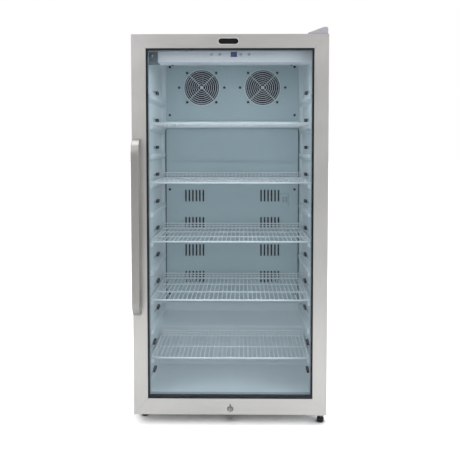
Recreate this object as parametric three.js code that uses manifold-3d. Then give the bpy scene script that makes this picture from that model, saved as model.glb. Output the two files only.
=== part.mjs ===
// Glass-door refrigerator with wire shelves, built as an assembly of separate pieces.
// Millimetres, +Z up. Inside this file Y = 0 is the door's front face and +Y runs to the back;
// the outer group then shifts everything so that the origin is the bottom centre of the box.
import * as THREE from 'three';
import { mergeVertices } from 'three/addons/utils/BufferGeometryUtils.js';
import Module from 'manifold-3d';

const wasm = await Module();
wasm.setup();

// ---- driving dimensions -------------------------------------------------
const WIDTH = 648;
const HALF = WIDTH / 2;
const BACK = 559;
const HANDLE_REACH = 46;
const GAP = 0.3;

const DOOR = { bottom: 40, top: 1308, depth: 42, skin: 1.5 };
const OPENING = { half: 276.5, bottom: 94.3, top: 1262.5 };
const BORDER = { half: 271, bottom: 103, top: 1257 };
const PANE = { half: 283, bottom: 85, top: 1273, thick: 4 };
const GASKET = { half: 303, bottom: 70, top: 1288, wide: 14, front: 42.3, back: 49.7 };
const HINGE = { x: 308.6, y: 21, pin: 4, bush: 7.5, bore: 4.4, reach: 22 };
const BRACKET = { left: 262, right: 319, thick: 3 };
const STRIKE = { half: 15, front: 38.5, back: 88, bottom: 28, thick: 2.5 };
const LOCK = { x: 0.4, z: 59.4, body: 10.5, plug: 6.9, cam: 28, camFront: 43.3, camBack: 45.5 };
const HANDLE = { x0: -320.4, x1: -295.6, bottom: 378.5, top: 967.5, bend: 53, bar: 7 };
const BADGE = { x: -5, z: 1284.5, half: 34, radius: 10.5 };

const CABINET = { half: 323, front: 50, bottom: 38.5, top: 1306, sheet: 1.3 };
const FLANGE = { half: 300, bottom: 75, top: 1283 };
const ROOM = { half: 283, floor: 92, ceiling: 1266, back: 462, wall: 2 };
const RECESS = { half: 255, bottom: 330, top: 1256, back: 506 };
const SILL = { back: 88, top: 95 };
const HUMP = { foot: 360, face: 366, edge: 240, rise: 277 };
const MACHINE = { front: 400, top: 200.6, sheet: 1.2 };

const SHELF = { count: 5, top: 1020, pitch: 202.6, half: 276, front: 72, back: 452, shortBack: 345 };
const SHELF_WIRE = { thick: 6, frame: 7, bars: 17, barGap: 5, upstand: 22 };
const LEDGE = { count: 10, top: 1121.3, pitch: 101.3, inner: 266, tall: 14, foot: 24, back: 455 };

const DUCT = { half: 263, front: 459, thick: 2.5, bottom: 312, top: 1265.5, flange: 31 };
const SLOT = { x: 151, tops: [768.8, 659, 548.8, 440.6], count: 6, pitch: 14, wide: 6.5, tall: 47.5 };
const FAN = { x: 121.2, z: 1176, opening: 68, guard: 73, frame: 66, bore: 61, tip: 57, hub: 19 };

const CONTROL = { left: -242.3, right: 281.5, front: 53, back: 125, bottom: 1223.5, top: 1265.5 };
const BUTTON = { xs: [-62.8, -35.2, 35.4, 63.0], z: 1249, radius: 4.5, front: 52.2, back: 59.8 };
const DISPLAY = { x: 12, z: 1249, wide: 20.4, tall: 16 };
const SWITCH = { left: -281.5, right: -243, x: -262.2, z: 1244, plunger: 4.4, front: 43.8, back: 64 };

const BOARD = { half: 90, front: 62, thick: 1.6, bottom: 1230, top: 1262 };
const LAMP = { half: 200, deep: 5, bottom: 1235, top: 1255 };

const PAN = { half: 321.4, front: 52.3, back: 557, bottom: 38.8, top: 41.1, footHole: 4.7 };
const REAR = { half: 321.4, seam: 204.7, panelTop: 1304.4, coverBottom: 41.5 };
const LOUVRE = { columns: 3, rows: 6, pitchX: 170, pitchZ: 20, half: 60, tall: 7, bottom: 70 };
const INLET = { left: -296, right: -266, front: 530, bottom: 95, top: 119 };
const FLOOR_Z = 41.4;
const TRAY = { left: -250, right: -90, front: 415, back: 522, bottom: 183.5, top: 197, wall: 1.6 };
const CONDENSER = { left: 150, right: 250, front: 420, back: 540, bottom: 50, top: 178, spine: 14 };
const COOLER = { half: 210, front: 468, back: 502, bottom: 820, top: 1060, spine: 6 };
const SUCTION = { radius: 4, hole: 7, x: -240, y: 532, bend: 14 };
const COMPRESSOR = { x: -170, y: 478, radius: 71, bottom: 53.3, top: 182 };
const CONDENSER_FAN = { y: 480, z: 115, ring: 122, hole: 55, tip: 51, hub: 15 };

// ---- finishes -----------------------------------------------------------
const FINISHES = {
  stainless: { color: 0xb9b8b4, roughness: 0.38, metalness: 0.9 },
  whiteSteel: { color: 0xe9eaec, roughness: 0.45, metalness: 0.1 },
  zincSteel: { color: 0xa9abad, roughness: 0.5, metalness: 0.8 },
  whitePlastic: { color: 0xe6ecee, roughness: 0.5, metalness: 0.0 },
  darkPlastic: { color: 0x3a4046, roughness: 0.6, metalness: 0.0 },
  blackPlastic: { color: 0x17181a, roughness: 0.5, metalness: 0.0 },
  rubber: { color: 0x8d9193, roughness: 0.85, metalness: 0.0 },
  glass: { color: 0xb6cdd2, roughness: 0.05, metalness: 0.0 },
  display: { color: 0x2a3a86, roughness: 0.2, metalness: 0.0 },
  whiteWire: { color: 0xf2f4f5, roughness: 0.4, metalness: 0.1 },
  foam: { color: 0xe6d9a8, roughness: 0.95, metalness: 0.0 },
  copper: { color: 0xb87345, roughness: 0.35, metalness: 0.95 },
  aluminium: { color: 0xc3c7ca, roughness: 0.4, metalness: 0.85 },
};

// ---- solids -------------------------------------------------------------
// A closed three.js geometry as a solid that can be joined and cut.
function solid(geometry) {
  const bare = geometry.index ? geometry.toNonIndexed() : geometry.clone();
  bare.deleteAttribute('normal');
  bare.deleteAttribute('uv');
  const merged = mergeVertices(bare, 1e-4);
  const vertProperties = new Float32Array(merged.attributes.position.array);
  const triVerts = new Uint32Array(merged.index.array);
  return new wasm.Manifold(new wasm.Mesh({ numProp: 3, vertProperties, triVerts }));
}

function geometryOf(body) {
  const mesh = body.getMesh();
  const geometry = new THREE.BufferGeometry();
  geometry.setAttribute('position', new THREE.BufferAttribute(mesh.vertProperties, 3));
  geometry.setIndex(new THREE.BufferAttribute(mesh.triVerts, 1));
  geometry.computeVertexNormals();
  return geometry;
}

const join = (bodies) => bodies.reduce((whole, piece) => whole.add(piece));
const cut = (body, tools) => tools.reduce((whole, tool) => whole.subtract(tool), body);

function box(x0, x1, y0, y1, z0, z1) {
  const geometry = new THREE.BoxGeometry(x1 - x0, y1 - y0, z1 - z0);
  geometry.translate((x0 + x1) / 2, (y0 + y1) / 2, (z0 + z1) / 2);
  return solid(geometry);
}

function shapeOf(points) {
  return new THREE.Shape(points.map(([u, v]) => new THREE.Vector2(u, v)));
}

function extruded(shape, depth, segments = 6) {
  return new THREE.ExtrudeGeometry(shape, { depth, bevelEnabled: false, curveSegments: segments });
}

// An outline of (y, z) points, extruded along X.
function alongX(shape, x0, x1, segments) {
  const axes = [new THREE.Vector3(0, 1, 0), new THREE.Vector3(0, 0, 1), new THREE.Vector3(1, 0, 0)];
  const geometry = extruded(shape, x1 - x0, segments);
  geometry.applyMatrix4(new THREE.Matrix4().makeBasis(...axes));
  geometry.translate(x0, 0, 0);
  return solid(geometry);
}

// An outline of (x, z) points, extruded along Y.
function alongY(shape, y0, y1, segments) {
  const axes = [new THREE.Vector3(1, 0, 0), new THREE.Vector3(0, 0, 1), new THREE.Vector3(0, -1, 0)];
  const geometry = extruded(shape, y1 - y0, segments);
  geometry.applyMatrix4(new THREE.Matrix4().makeBasis(...axes));
  geometry.translate(0, y1, 0);
  return solid(geometry);
}

// An outline of (x, y) points, extruded along Z.
function alongZ(shape, z0, z1, segments) {
  const geometry = extruded(shape, z1 - z0, segments);
  geometry.translate(0, 0, z0);
  return solid(geometry);
}

// A round bar along one axis; the centre is given in the two other axes, in X, Y, Z order.
function rod(axis, radius, from, to, a, b, sides = 20) {
  const geometry = new THREE.CylinderGeometry(radius, radius, to - from, sides);
  const middle = (from + to) / 2;
  if (axis === 'x') {
    geometry.rotateZ(-Math.PI / 2);
    geometry.translate(middle, a, b);
  } else if (axis === 'y') {
    geometry.translate(a, middle, b);
  } else {
    geometry.rotateX(Math.PI / 2);
    geometry.translate(a, b, middle);
  }
  return solid(geometry);
}

// A turned piece about a vertical axis through (x, y), from a profile of (radius, z) points.
function turned(profile, x, y, sides = 20) {
  const points = profile.map(([r, z]) => new THREE.Vector2(r, z));
  const geometry = new THREE.LatheGeometry(points, sides);
  geometry.rotateX(Math.PI / 2);
  geometry.translate(x, y, 0);
  return solid(geometry);
}

// A rectangular ring in the XZ plane.
function frameRing(outer, inner, y0, y1) {
  const ring = box(-outer.half, outer.half, y0, y1, outer.bottom, outer.top);
  return cut(ring, [box(-inner.half, inner.half, y0 - 1, y1 + 1, inner.bottom, inner.top)]);
}

// A tube along straight runs with rounded bends.
function tube(points, radius, bend, sides = 8) {
  const corners = points.map(([x, y, z]) => new THREE.Vector3(x, y, z));
  const path = new THREE.CurvePath();
  let start = corners[0];
  for (let i = 1; i < corners.length - 1; i += 1) {
    const before = corners[i].clone().lerp(start, Math.min(0.45, bend / corners[i].distanceTo(start)));
    const toNext = corners[i].distanceTo(corners[i + 1]);
    const after = corners[i].clone().lerp(corners[i + 1], Math.min(0.45, bend / toNext));
    path.add(new THREE.LineCurve3(start, before));
    path.add(new THREE.QuadraticBezierCurve3(before, corners[i], after));
    start = after;
  }
  path.add(new THREE.LineCurve3(start, corners[corners.length - 1]));
  const points3 = path.curves.flatMap((curve) => curve.getPoints(curve.isLineCurve3 ? 1 : 3).slice(1));
  const route = new THREE.CatmullRomCurve3([corners[0], ...points3], false, 'centripetal');
  const section = new THREE.Shape().absarc(0, 0, radius, 0, Math.PI * 2);
  const options = { steps: points3.length * 2, bevelEnabled: false, curveSegments: sides / 2 };
  return solid(new THREE.ExtrudeGeometry(section, { ...options, extrudePath: route }));
}

// ---- scene graph --------------------------------------------------------
const fridge = new THREE.Group();
const assembly = new THREE.Group();
assembly.position.y = -(BACK - HANDLE_REACH) / 2;
fridge.add(assembly);

function place(name, finish, body) {
  const mesh = new THREE.Mesh(geometryOf(body), new THREE.MeshStandardMaterial(FINISHES[finish]));
  mesh.name = name;
  assembly.add(mesh);
}

// ---- cabinet ------------------------------------------------------------
function cabinetShell() {
  const { half, front, bottom, top, sheet } = CABINET;
  const outside = box(-half, half, front, BACK, bottom, top);
  const inside = box(-half + sheet, half - sheet, front + sheet, BACK + 1, bottom - 1, top - sheet);
  const mouth = box(-FLANGE.half, FLANGE.half, front - 1, front + 5, FLANGE.bottom, FLANGE.top);
  return cut(outside, [inside, mouth]);
}

// The slope of the step over the machine room, lowered and moved back by a clearance.
function humpBlock(clearance, half) {
  const { foot, face, edge, rise } = HUMP;
  const beyond = 140;
  const slope = (rise - edge) / (ROOM.back - face);
  const outline = shapeOf([
    [foot + clearance, 0],
    [foot + clearance, ROOM.floor],
    [face + clearance, edge - clearance],
    [face + beyond, edge - clearance + slope * beyond],
    [face + beyond, 0],
  ]);
  return alongX(outline, -half, half);
}

// The moulded room and its recess, grown outwards by a wall.
function roomBlock(wall, mouth) {
  const { half, floor, ceiling, back } = ROOM;
  const room = box(-half - wall, half + wall, mouth, back + wall, floor - wall, ceiling + wall);
  const sides = RECESS.half + wall;
  const recess = box(-sides, sides, back - 1, RECESS.back + wall, RECESS.bottom - wall, RECESS.top + wall);
  return cut(room.add(recess), [humpBlock(wall, half + 20)]);
}

function ledge(side, top, back) {
  const outer = ROOM.half + 0.5;
  const outline = shapeOf([
    [side * outer, top],
    [side * LEDGE.inner, top],
    [side * LEDGE.inner, top - LEDGE.tall],
    [side * outer, top - LEDGE.foot],
  ]);
  return alongY(outline, SHELF.front, back);
}

function ledges() {
  const pieces = [];
  for (let i = 0; i < LEDGE.count; i += 1) {
    const top = LEDGE.top - i * LEDGE.pitch - SHELF_WIRE.thick / 2 - GAP;
    const back = top < HUMP.edge ? HUMP.foot : LEDGE.back;
    pieces.push(ledge(-1, top, back), ledge(1, top, back));
  }
  return pieces;
}

// The suction line leaves the compressor, climbs behind the room and turns in to the cooler.
function suctionRoute(radius) {
  const { x, y, bend } = SUCTION;
  const outlet = { x: -268, z: 120, turn: 140, rise: 175 };
  const inlet = { x: -214, y: 487, z: 890 };
  const points = [
    [COMPRESSOR.x - COMPRESSOR.radius - 1, COMPRESSOR.y, outlet.z],
    [outlet.x, COMPRESSOR.y, outlet.z],
    [outlet.x, y, outlet.turn],
    [x, y, outlet.rise],
    [x, y, inlet.z],
    [x, inlet.y, inlet.z],
    [inlet.x, inlet.y, inlet.z],
  ];
  return tube(points, radius, bend);
}

function innerLiner() {
  const { half, floor, wall } = ROOM;
  const { front } = CABINET;
  const rim = { half: FLANGE.half - GAP, bottom: FLANGE.bottom + GAP, top: FLANGE.top - GAP };
  const lip = box(-rim.half, rim.half, front, front + wall, rim.bottom, rim.top);
  const shell = cut(roomBlock(wall, front).add(lip), [roomBlock(0, front - 1)]);
  const sill = box(-half - 0.5, half + 0.5, front, SILL.back, floor - 0.5, SILL.top);
  return cut(join([shell, sill, ...ledges()]), [suctionRoute(SUCTION.hole)]);
}

function foamInsulation() {
  const { half, front, top, sheet } = CABINET;
  const side = half - sheet - GAP;
  const block = box(-side, side, front + 2.3, BACK - 2.1, PAN.top + 0.5, top - sheet - GAP);
  const machine = box(-half, half, MACHINE.front, BACK, 0, MACHINE.top + GAP);
  return cut(block, [roomBlock(ROOM.wall + GAP, front - 1), machine, suctionRoute(SUCTION.hole)]);
}

function basePan() {
  const { half, front, back, bottom, top, footHole } = PAN;
  const plate = box(-half, half, front, back, bottom, top);
  const holes = FEET.slice(1).map(({ x, y }) => rod('z', footHole, bottom - 9, top + 9, x, y, 16));
  return cut(plate, holes);
}

function rearPanel() {
  return box(-REAR.half, REAR.half, BACK - CABINET.sheet, BACK, REAR.seam + GAP, REAR.panelTop);
}

function rearCover() {
  const { columns, rows, pitchX, pitchZ, half, tall, bottom } = LOUVRE;
  const plate = box(-REAR.half, REAR.half, BACK - CABINET.sheet, BACK, REAR.coverBottom, REAR.seam);
  const slots = [];
  for (let column = 0; column < columns; column += 1) {
    for (let row = 0; row < rows; row += 1) {
      const x = (column - 1) * pitchX;
      const z = bottom + row * pitchZ;
      slots.push(box(x - half, x + half, BACK - 5, BACK + 5, z, z + tall));
    }
  }
  const left = INLET.left - 0.5;
  const right = INLET.right + 0.5;
  return cut(plate, [...slots, box(left, right, BACK - 5, BACK + 5, INLET.bottom - 0.5, INLET.top + 0.5)]);
}

function machineRoomPanel() {
  const { front, top, sheet } = MACHINE;
  const y = front + GAP;
  const low = PAN.top + 0.5;
  const rear = PAN.back - 0.1;
  const outline = shapeOf([
    [y, low],
    [y + sheet, low],
    [y + sheet, top - sheet],
    [rear, top - sheet],
    [rear, top],
    [y, top],
  ]);
  return cut(alongX(outline, -PAN.half + 0.2, PAN.half - 0.2), [suctionRoute(SUCTION.hole)]);
}

// ---- machine room -------------------------------------------------------
function compressor() {
  const { x, y, radius, bottom, top } = COMPRESSOR;
  const profile = [
    [0, bottom],
    [radius * 0.72, bottom],
    [radius * 0.96, bottom + 14],
    [radius, bottom + 30],
    [radius, top - 46],
    [radius * 0.9, top - 20],
    [radius * 0.58, top - 4],
    [0, top],
  ];
  const terminalBox = box(x + radius - 6, x + radius + 26, y - 22, y + 22, 80, 128);
  return turned(profile, x, y, 24).add(terminalBox);
}

// The plate under the compressor with its four rubber feet.
function compressorMount() {
  const { x, y } = COMPRESSOR;
  const pieces = [box(x - 92, x + 92, y - 70, y + 70, 50, COMPRESSOR.bottom - GAP)];
  for (const dx of [-80, 80]) {
    for (const dy of [-58, 58]) {
      const profile = [[0, FLOOR_Z], [10, FLOOR_Z], [7, 45.5], [10, 50.2], [0, 50.2]];
      pieces.push(turned(profile, x + dx, y + dy, 14));
    }
  }
  return join(pieces);
}

function drainTray() {
  const { left, right, front, back, bottom, top, wall } = TRAY;
  const tray = box(left, right, front, back, bottom, top);
  return cut(tray, [box(left + wall, right - wall, front + wall, back - wall, bottom + wall, top + 3)]);
}

function condenserCoil() {
  const { left, right, front, back, bottom, top, spine } = CONDENSER;
  const block = box(left, right, front, back, bottom, top);
  const gaps = { count: 9, pitch: 12.2, wide: 7 };
  const slots = [];
  for (let i = 0; i < gaps.count; i += 1) {
    const y = front + 8 + i * gaps.pitch;
    slots.push(box(left - 1, right - spine, y, y + gaps.wide, bottom - 5, top + 4));
  }
  return join([cut(block, slots), box(right - spine, right, front + 5, back - 5, FLOOR_Z, bottom + 1)]);
}

// The shroud plate, the motor on its post and the foot that ties them.
function condenserFanMount() {
  const { y, z, ring, hole } = CONDENSER_FAN;
  const plate = box(ring, ring + 3, y - 65, y + 60, FLOOR_Z, 182);
  const shroud = cut(plate, [rod('x', hole, ring - 5, ring + 8, y, z, 24)]);
  const post = box(ring - 60, ring - 48, y - 12, y + 12, FLOOR_Z, z);
  const foot = box(ring - 60, ring + 2, y - 12, y + 12, FLOOR_Z, FLOOR_Z + 3.1);
  return join([shroud, post, foot, rod('x', 20, ring - 67, ring - 30, y, z, 18)]);
}

// A fan wheel about the X axis: a hub with pitched blades.
function fanWheel(hub, tip, depth, blades) {
  const pieces = [rod('x', hub, -depth / 2, depth / 2, 0, 0, 16)];
  for (let i = 0; i < blades; i += 1) {
    const blade = new THREE.BoxGeometry(2, (tip - hub) * 1.02 + 3, hub * 1.5);
    blade.rotateY(0.5);
    blade.translate(0, (tip + hub) / 2 - 3, 0);
    blade.rotateX((i * 2 * Math.PI) / blades);
    pieces.push(solid(blade));
  }
  return join(pieces);
}

function condenserFanBlades() {
  const { y, z, ring, hub, tip } = CONDENSER_FAN;
  return fanWheel(hub, tip, 18, 4).translate([ring - 17, y, z]);
}

// ---- air duct -----------------------------------------------------------
function ductPanel() {
  const { half, front, thick, bottom, top, flange } = DUCT;
  const sheet = box(-half, half, front, front + thick, bottom, top);
  const lip = box(-half + 12, half - 12, front - flange, front + 1, top - 1.8, top);
  const openings = [-1, 1].map((s) => rod('y', FAN.opening, front - 5, front + 8, s * FAN.x, FAN.z, 28));
  for (const side of [-1, 1]) {
    for (const slotTop of SLOT.tops) {
      for (let i = 0; i < SLOT.count; i += 1) {
        const x = side * SLOT.x + (i - (SLOT.count - 1) / 2) * SLOT.pitch;
        const z0 = slotTop - SLOT.tall;
        openings.push(box(x - SLOT.wide / 2, x + SLOT.wide / 2, front - 3, front + 6, z0, slotTop));
      }
    }
  }
  return cut(join([sheet, lip]), openings);
}

function fanGuard(side) {
  const y0 = DUCT.front - 3.2;
  const y1 = DUCT.front - GAP;
  const x = side * FAN.x;
  const rings = [];
  for (const radius of [FAN.guard, 46, 25]) {
    const hole = rod('y', radius - 4, y0 - 1, y1 + 1, x, FAN.z, 20);
    rings.push(cut(rod('y', radius, y0, y1, x, FAN.z, 20), [hole]));
  }
  const spokes = [1, -1].map((turn) => {
    const bar = new THREE.BoxGeometry(2 * FAN.guard - 4, y1 - y0, 3);
    bar.rotateY((turn * Math.PI) / 4);
    bar.translate(x, (y0 + y1) / 2, FAN.z);
    return solid(bar);
  });
  return join([...rings, ...spokes]);
}

function fanFrame(side) {
  const { z, frame, bore } = FAN;
  const x = side * FAN.x;
  const y0 = DUCT.front + DUCT.thick + GAP;
  const outer = box(x - frame, x + frame, y0, y0 + 30, z - frame, z + frame);
  const housing = cut(outer, [rod('y', bore, y0 - 1, y0 + 31, x, z, 24)]);
  const spider = box(x - frame + 2, x + frame - 2, y0 + 26, y0 + 30, z - 5, z + 5);
  return join([housing, spider, rod('y', 20, y0 + 22, y0 + 30, x, z, 16)]);
}

function fanBlades(side) {
  const y0 = DUCT.front + DUCT.thick + GAP;
  const wheel = fanWheel(FAN.hub, FAN.tip, 18, 5).rotate([0, 0, 90]);
  return wheel.translate([side * FAN.x, y0 + 11, FAN.z]);
}

function evaporatorCoil() {
  const { half, front, back, bottom, top, spine } = COOLER;
  const block = box(-half, half, front, back, bottom, top);
  const gaps = { count: 13, pitch: 30.5, wide: 24 };
  const slots = [];
  for (let i = 0; i < gaps.count; i += 1) {
    const x = -half + 13 + i * gaps.pitch;
    slots.push(box(x, x + gaps.wide, front - 1, back - spine, bottom - 5, top + 5));
  }
  return cut(block, slots);
}

// ---- control panel ------------------------------------------------------
function controlPanel() {
  const { left, right, front, back, bottom, top } = CONTROL;
  const inside = box(left + 2, right - 2, front + 2, back - 2, bottom + 2, top + 5);
  const holes = BUTTON.xs.map((x) => rod('y', BUTTON.radius + 0.5, front - 1, front + 4, x, BUTTON.z, 16));
  const { x, z, wide, tall } = DISPLAY;
  const w = wide / 2 + GAP;
  const h = tall / 2 + GAP;
  const window = box(x - w, x + w, front - 1, front + 4, z - h, z + h);
  return cut(box(left, right, front, back, bottom, top), [inside, window, ...holes]);
}

// The display block on its circuit board.
function displayModule() {
  const { x, z, wide, tall } = DISPLAY;
  const screen = box(x - wide / 2, x + wide / 2, 53.5, 62.2, z - tall / 2, z + tall / 2);
  const { half, front, thick, bottom, top } = BOARD;
  return join([screen, box(-half, half, front, front + thick, bottom, top)]);
}

function switchHousing() {
  const { left, right, x, z, plunger } = SWITCH;
  const block = box(left, right, CONTROL.front, CONTROL.back, CONTROL.bottom, CONTROL.top);
  return cut(block, [rod('y', plunger + 0.5, CONTROL.front - 1, 70, x, z, 16)]);
}

// ---- hinges, strike and feet --------------------------------------------
const FEET = [
  { name: 'front_right', x: HINGE.x, y: 44, top: 35.6 },
  { name: 'front_left', x: -300, y: 92, top: 40.8 },
  { name: 'rear_right', x: 300, y: 528, top: 40.8 },
  { name: 'rear_left', x: -300, y: 528, top: 40.8 },
];

function levellingFoot({ x, y, top }) {
  const profile = [[0, 0], [9.5, 0], [12.1, 3], [12.1, 13], [9, 17], [4, 17], [4, top], [0, top]];
  return turned(profile, x, y, 16);
}

function topHingeBracket() {
  const { left, right, thick } = BRACKET;
  const low = DOOR.top + 1.3;
  const plate = box(left, right, 12, 95, low, low + thick);
  const block = box(left, right, 56, 95, CABINET.top + GAP, low + 0.2);
  const pin = rod('z', HINGE.pin, DOOR.top - HINGE.reach - 1, low + 0.2, HINGE.x, HINGE.y, 16);
  return join([plate, block, pin]);
}

function bottomHingeBracket() {
  const { left, right, thick } = BRACKET;
  const high = DOOR.bottom - 4;
  const plate = box(left, right, 10, 110, high - thick, high);
  const block = box(left, right, 66, 110, high - 0.2, CABINET.bottom);
  const pin = rod('z', HINGE.pin, high - 0.2, DOOR.bottom + HINGE.reach, HINGE.x, HINGE.y, 16);
  const footHole = rod('z', PAN.footHole, 30, 40, FEET[0].x, FEET[0].y, 16);
  return cut(join([plate, block, pin]), [footHole]);
}

function hingeCover() {
  const outer = [[256, 1309], [256, 1314], [306, 1331.5], [311, 1333], [318, 1333], [322, 1330], [322, 1309]];
  const inner = [[258.4, 1308], [258.4, 1312.9], [306, 1329.2], [317, 1331], [319.8, 1328.5], [319.8, 1308]];
  return cut(alongY(shapeOf(outer), 8, 99), [alongY(shapeOf(inner), 10.2, 96.8)]);
}

function lockStrike() {
  const { half, front, back, bottom, thick } = STRIKE;
  const plate = box(-half, half, front, back, bottom, bottom + thick);
  const lip = box(-half, half, front, front + thick, bottom, CABINET.bottom - 0.1);
  const riser = box(-half, half, back - 26, back, bottom + thick - 0.2, CABINET.bottom);
  return join([plate, lip, riser]);
}

// ---- door ---------------------------------------------------------------
// Height of the mitre line between two rails at x, measured at the left corners.
function mitreTop(x) {
  return DOOR.top - ((x + HALF) * (DOOR.top - OPENING.top)) / (HALF - OPENING.half);
}

function mitreBottom(x) {
  return DOOR.bottom + ((x + HALF) * (OPENING.bottom - DOOR.bottom)) / (HALF - OPENING.half);
}

function mitreWedge(rail) {
  const slack = 0.22;
  const a = -HALF - 6;
  const b = -OPENING.half + 6;
  const side = [
    [a, mitreTop(a) - slack],
    [a, mitreBottom(a) + slack],
    [b, mitreBottom(b) + slack],
    [b, mitreTop(b) - slack],
  ];
  const top = [
    [a, mitreTop(a) + slack],
    [b, mitreTop(b) + slack],
    [-b, mitreTop(b) + slack],
    [-a, mitreTop(a) + slack],
  ];
  const bottom = [
    [a, mitreBottom(a) - slack],
    [-a, mitreBottom(a) - slack],
    [-b, mitreBottom(b) - slack],
    [b, mitreBottom(b) - slack],
  ];
  const outlines = { left: side, right: side.map(([x, z]) => [-x, z]), top, bottom };
  return alongY(shapeOf(outlines[rail]), -5, 60);
}

function doorRail(rail) {
  const { bottom, top, skin, depth } = DOOR;
  const outside = { half: HALF, bottom, top };
  const inside = { half: HALF - skin, bottom: bottom + skin, top: top - skin };
  const back = depth - 2;
  const lip = { half: OPENING.half + skin, bottom: OPENING.bottom - skin, top: OPENING.top + skin };
  const ring = join([
    frameRing(outside, OPENING, 0, skin),
    frameRing(outside, inside, skin - 0.1, back),
    frameRing(lip, OPENING, skin - 0.1, 2.8),
  ]);
  const piece = ring.intersect(mitreWedge(rail));
  const pinHole = rod('z', HINGE.bush + 0.5, 0, 1400, HINGE.x, HINGE.y, 20);
  const lockHole = rod('y', LOCK.body + 0.4, -5, 60, LOCK.x, LOCK.z, 24);
  return rail === 'top' || rail === 'bottom' ? cut(piece, [pinHole, lockHole]) : piece;
}

function doorCore() {
  const edge = DOOR.skin + GAP;
  const outer = { half: HALF - edge, bottom: DOOR.bottom + edge, top: DOOR.top - edge };
  const rebate = { half: PANE.half + GAP, bottom: PANE.bottom - GAP, top: PANE.top + GAP };
  const core = join([frameRing(outer, rebate, edge, 24.1), frameRing(outer, BORDER, 24, DOOR.depth)]);
  const reach = HINGE.reach + 2;
  const bore = HINGE.bush + GAP;
  return cut(core, [
    rod('z', bore, outer.bottom - 1, outer.bottom + reach, HINGE.x, HINGE.y, 20),
    rod('z', bore, outer.top - reach, outer.top + 1, HINGE.x, HINGE.y, 20),
    rod('y', LOCK.body + 0.4, 0, 60, LOCK.x, LOCK.z, 24),
  ]);
}

function hingeBush(z0) {
  const ring = rod('z', HINGE.bush, z0, z0 + HINGE.reach, HINGE.x, HINGE.y, 20);
  return cut(ring, [rod('z', HINGE.bore, z0 - 1, z0 + 30, HINGE.x, HINGE.y, 16)]);
}

function pane(front) {
  return box(-PANE.half, PANE.half, front, front + PANE.thick, PANE.bottom, PANE.top);
}

function doorGasket() {
  const { half, bottom, top, wide, front, back } = GASKET;
  const inner = { half: half - wide, bottom: bottom + wide, top: top - wide };
  return frameRing(GASKET, inner, front, back);
}

// Half of the bow in the YZ plane: a quarter ellipse from the door face to the bar.
function bowHalf(reach, length, end, direction, steps = 8) {
  const points = [];
  for (let i = 0; i <= steps; i += 1) {
    const angle = (i / steps) * (Math.PI / 2);
    const y = -GAP - (reach - GAP) * Math.sin(angle);
    points.push([y, end + direction * length * (1 - Math.cos(angle))]);
  }
  return points;
}

function handle() {
  const { x0, x1, bottom, top, bend, bar } = HANDLE;
  const reach = HANDLE_REACH;
  const outer = [...bowHalf(reach, bend, bottom, 1), ...bowHalf(reach, bend, top, -1).reverse()];
  const innerBottom = bowHalf(reach - bar, bend, bottom + bar, 1);
  const innerTop = bowHalf(reach - bar, bend, top - bar, -1).reverse();
  return alongX(shapeOf([...outer, ...[...innerBottom, ...innerTop].reverse()]), x0, x1);
}

function badgePlate() {
  const { x, z, half, radius } = BADGE;
  const pill = new THREE.Shape();
  pill.absarc(x + half - radius, z, radius, -Math.PI / 2, Math.PI / 2);
  pill.absarc(x - half + radius, z, radius, Math.PI / 2, (3 * Math.PI) / 2);
  return alongY(pill, -2.4, -GAP, 8);
}

function lockBody() {
  const body = rod('y', LOCK.body, -2, DOOR.depth, LOCK.x, LOCK.z, 24);
  return cut(body, [rod('y', LOCK.plug + 0.3, -5, 60, LOCK.x, LOCK.z, 24)]);
}

// The turning plug with its keyhole, and the cam on its inner end.
function lockPlug() {
  const { x, z, cam, camFront, camBack } = LOCK;
  const barrel = rod('y', LOCK.plug, -2.6, camFront + 0.1, x, z, 20);
  const keyhole = box(x - 0.8, x + 0.8, -5, 14, z - 4, z + 4);
  const arm = box(x, x + cam, camFront, camBack, z - 5, z + 5);
  return join([cut(barrel, [keyhole]), rod('y', 8, camFront, camBack, x, z, 16), arm]);
}

// ---- shelves ------------------------------------------------------------
// A flat plate with two rounded front corners.
function shelfOutline(back, corner) {
  const { half, front } = SHELF;
  const shape = new THREE.Shape();
  shape.absarc(-half + corner, front + corner, corner, Math.PI, 1.5 * Math.PI);
  shape.absarc(half - corner, front + corner, corner, 1.5 * Math.PI, 2 * Math.PI);
  shape.lineTo(half, back);
  shape.lineTo(-half, back);
  return shape;
}

// Openings that leave the front-to-back bars standing.
function shelfOpenings(z, back, corner) {
  const { half, front } = SHELF;
  const { bars, barGap, frame } = SHELF_WIRE;
  const pitch = (2 * (half - corner)) / bars;
  const openings = [];
  for (let i = 0; i < bars; i += 1) {
    const x = -half + corner + i * pitch;
    openings.push(box(x + barGap / 2, x + pitch - barGap / 2, front + frame, back - frame, z - 9, z + 9));
  }
  return openings;
}

function wireShelf(z, back, corner) {
  const { thick, frame, upstand } = SHELF_WIRE;
  const plate = alongZ(shelfOutline(back, corner), z - thick / 2, z + thick / 2, 3);
  const base = cut(plate, shelfOpenings(z, back, corner));
  const fence = box(-SHELF.half + 4, SHELF.half - 4, back - frame, back - 1, z, z + upstand);
  const windows = [];
  for (let i = 0; i < 5; i += 1) {
    const x = -SHELF.half + 10 + i * 107.6;
    windows.push(box(x, x + 101.6, back - 20, back + 5, z + thick / 2 + 2, z + upstand - 4));
  }
  return cut(join([base, fence]), windows);
}

// ---- assembly -----------------------------------------------------------
place('cabinet_shell', 'whiteSteel', cabinetShell());
place('rear_panel', 'whiteSteel', rearPanel());
place('base_pan', 'zincSteel', basePan());
place('inner_liner', 'whitePlastic', innerLiner());
place('foam_insulation', 'foam', foamInsulation());
place('machine_room_panel', 'zincSteel', machineRoomPanel());
place('rear_cover', 'zincSteel', rearCover());

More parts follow.
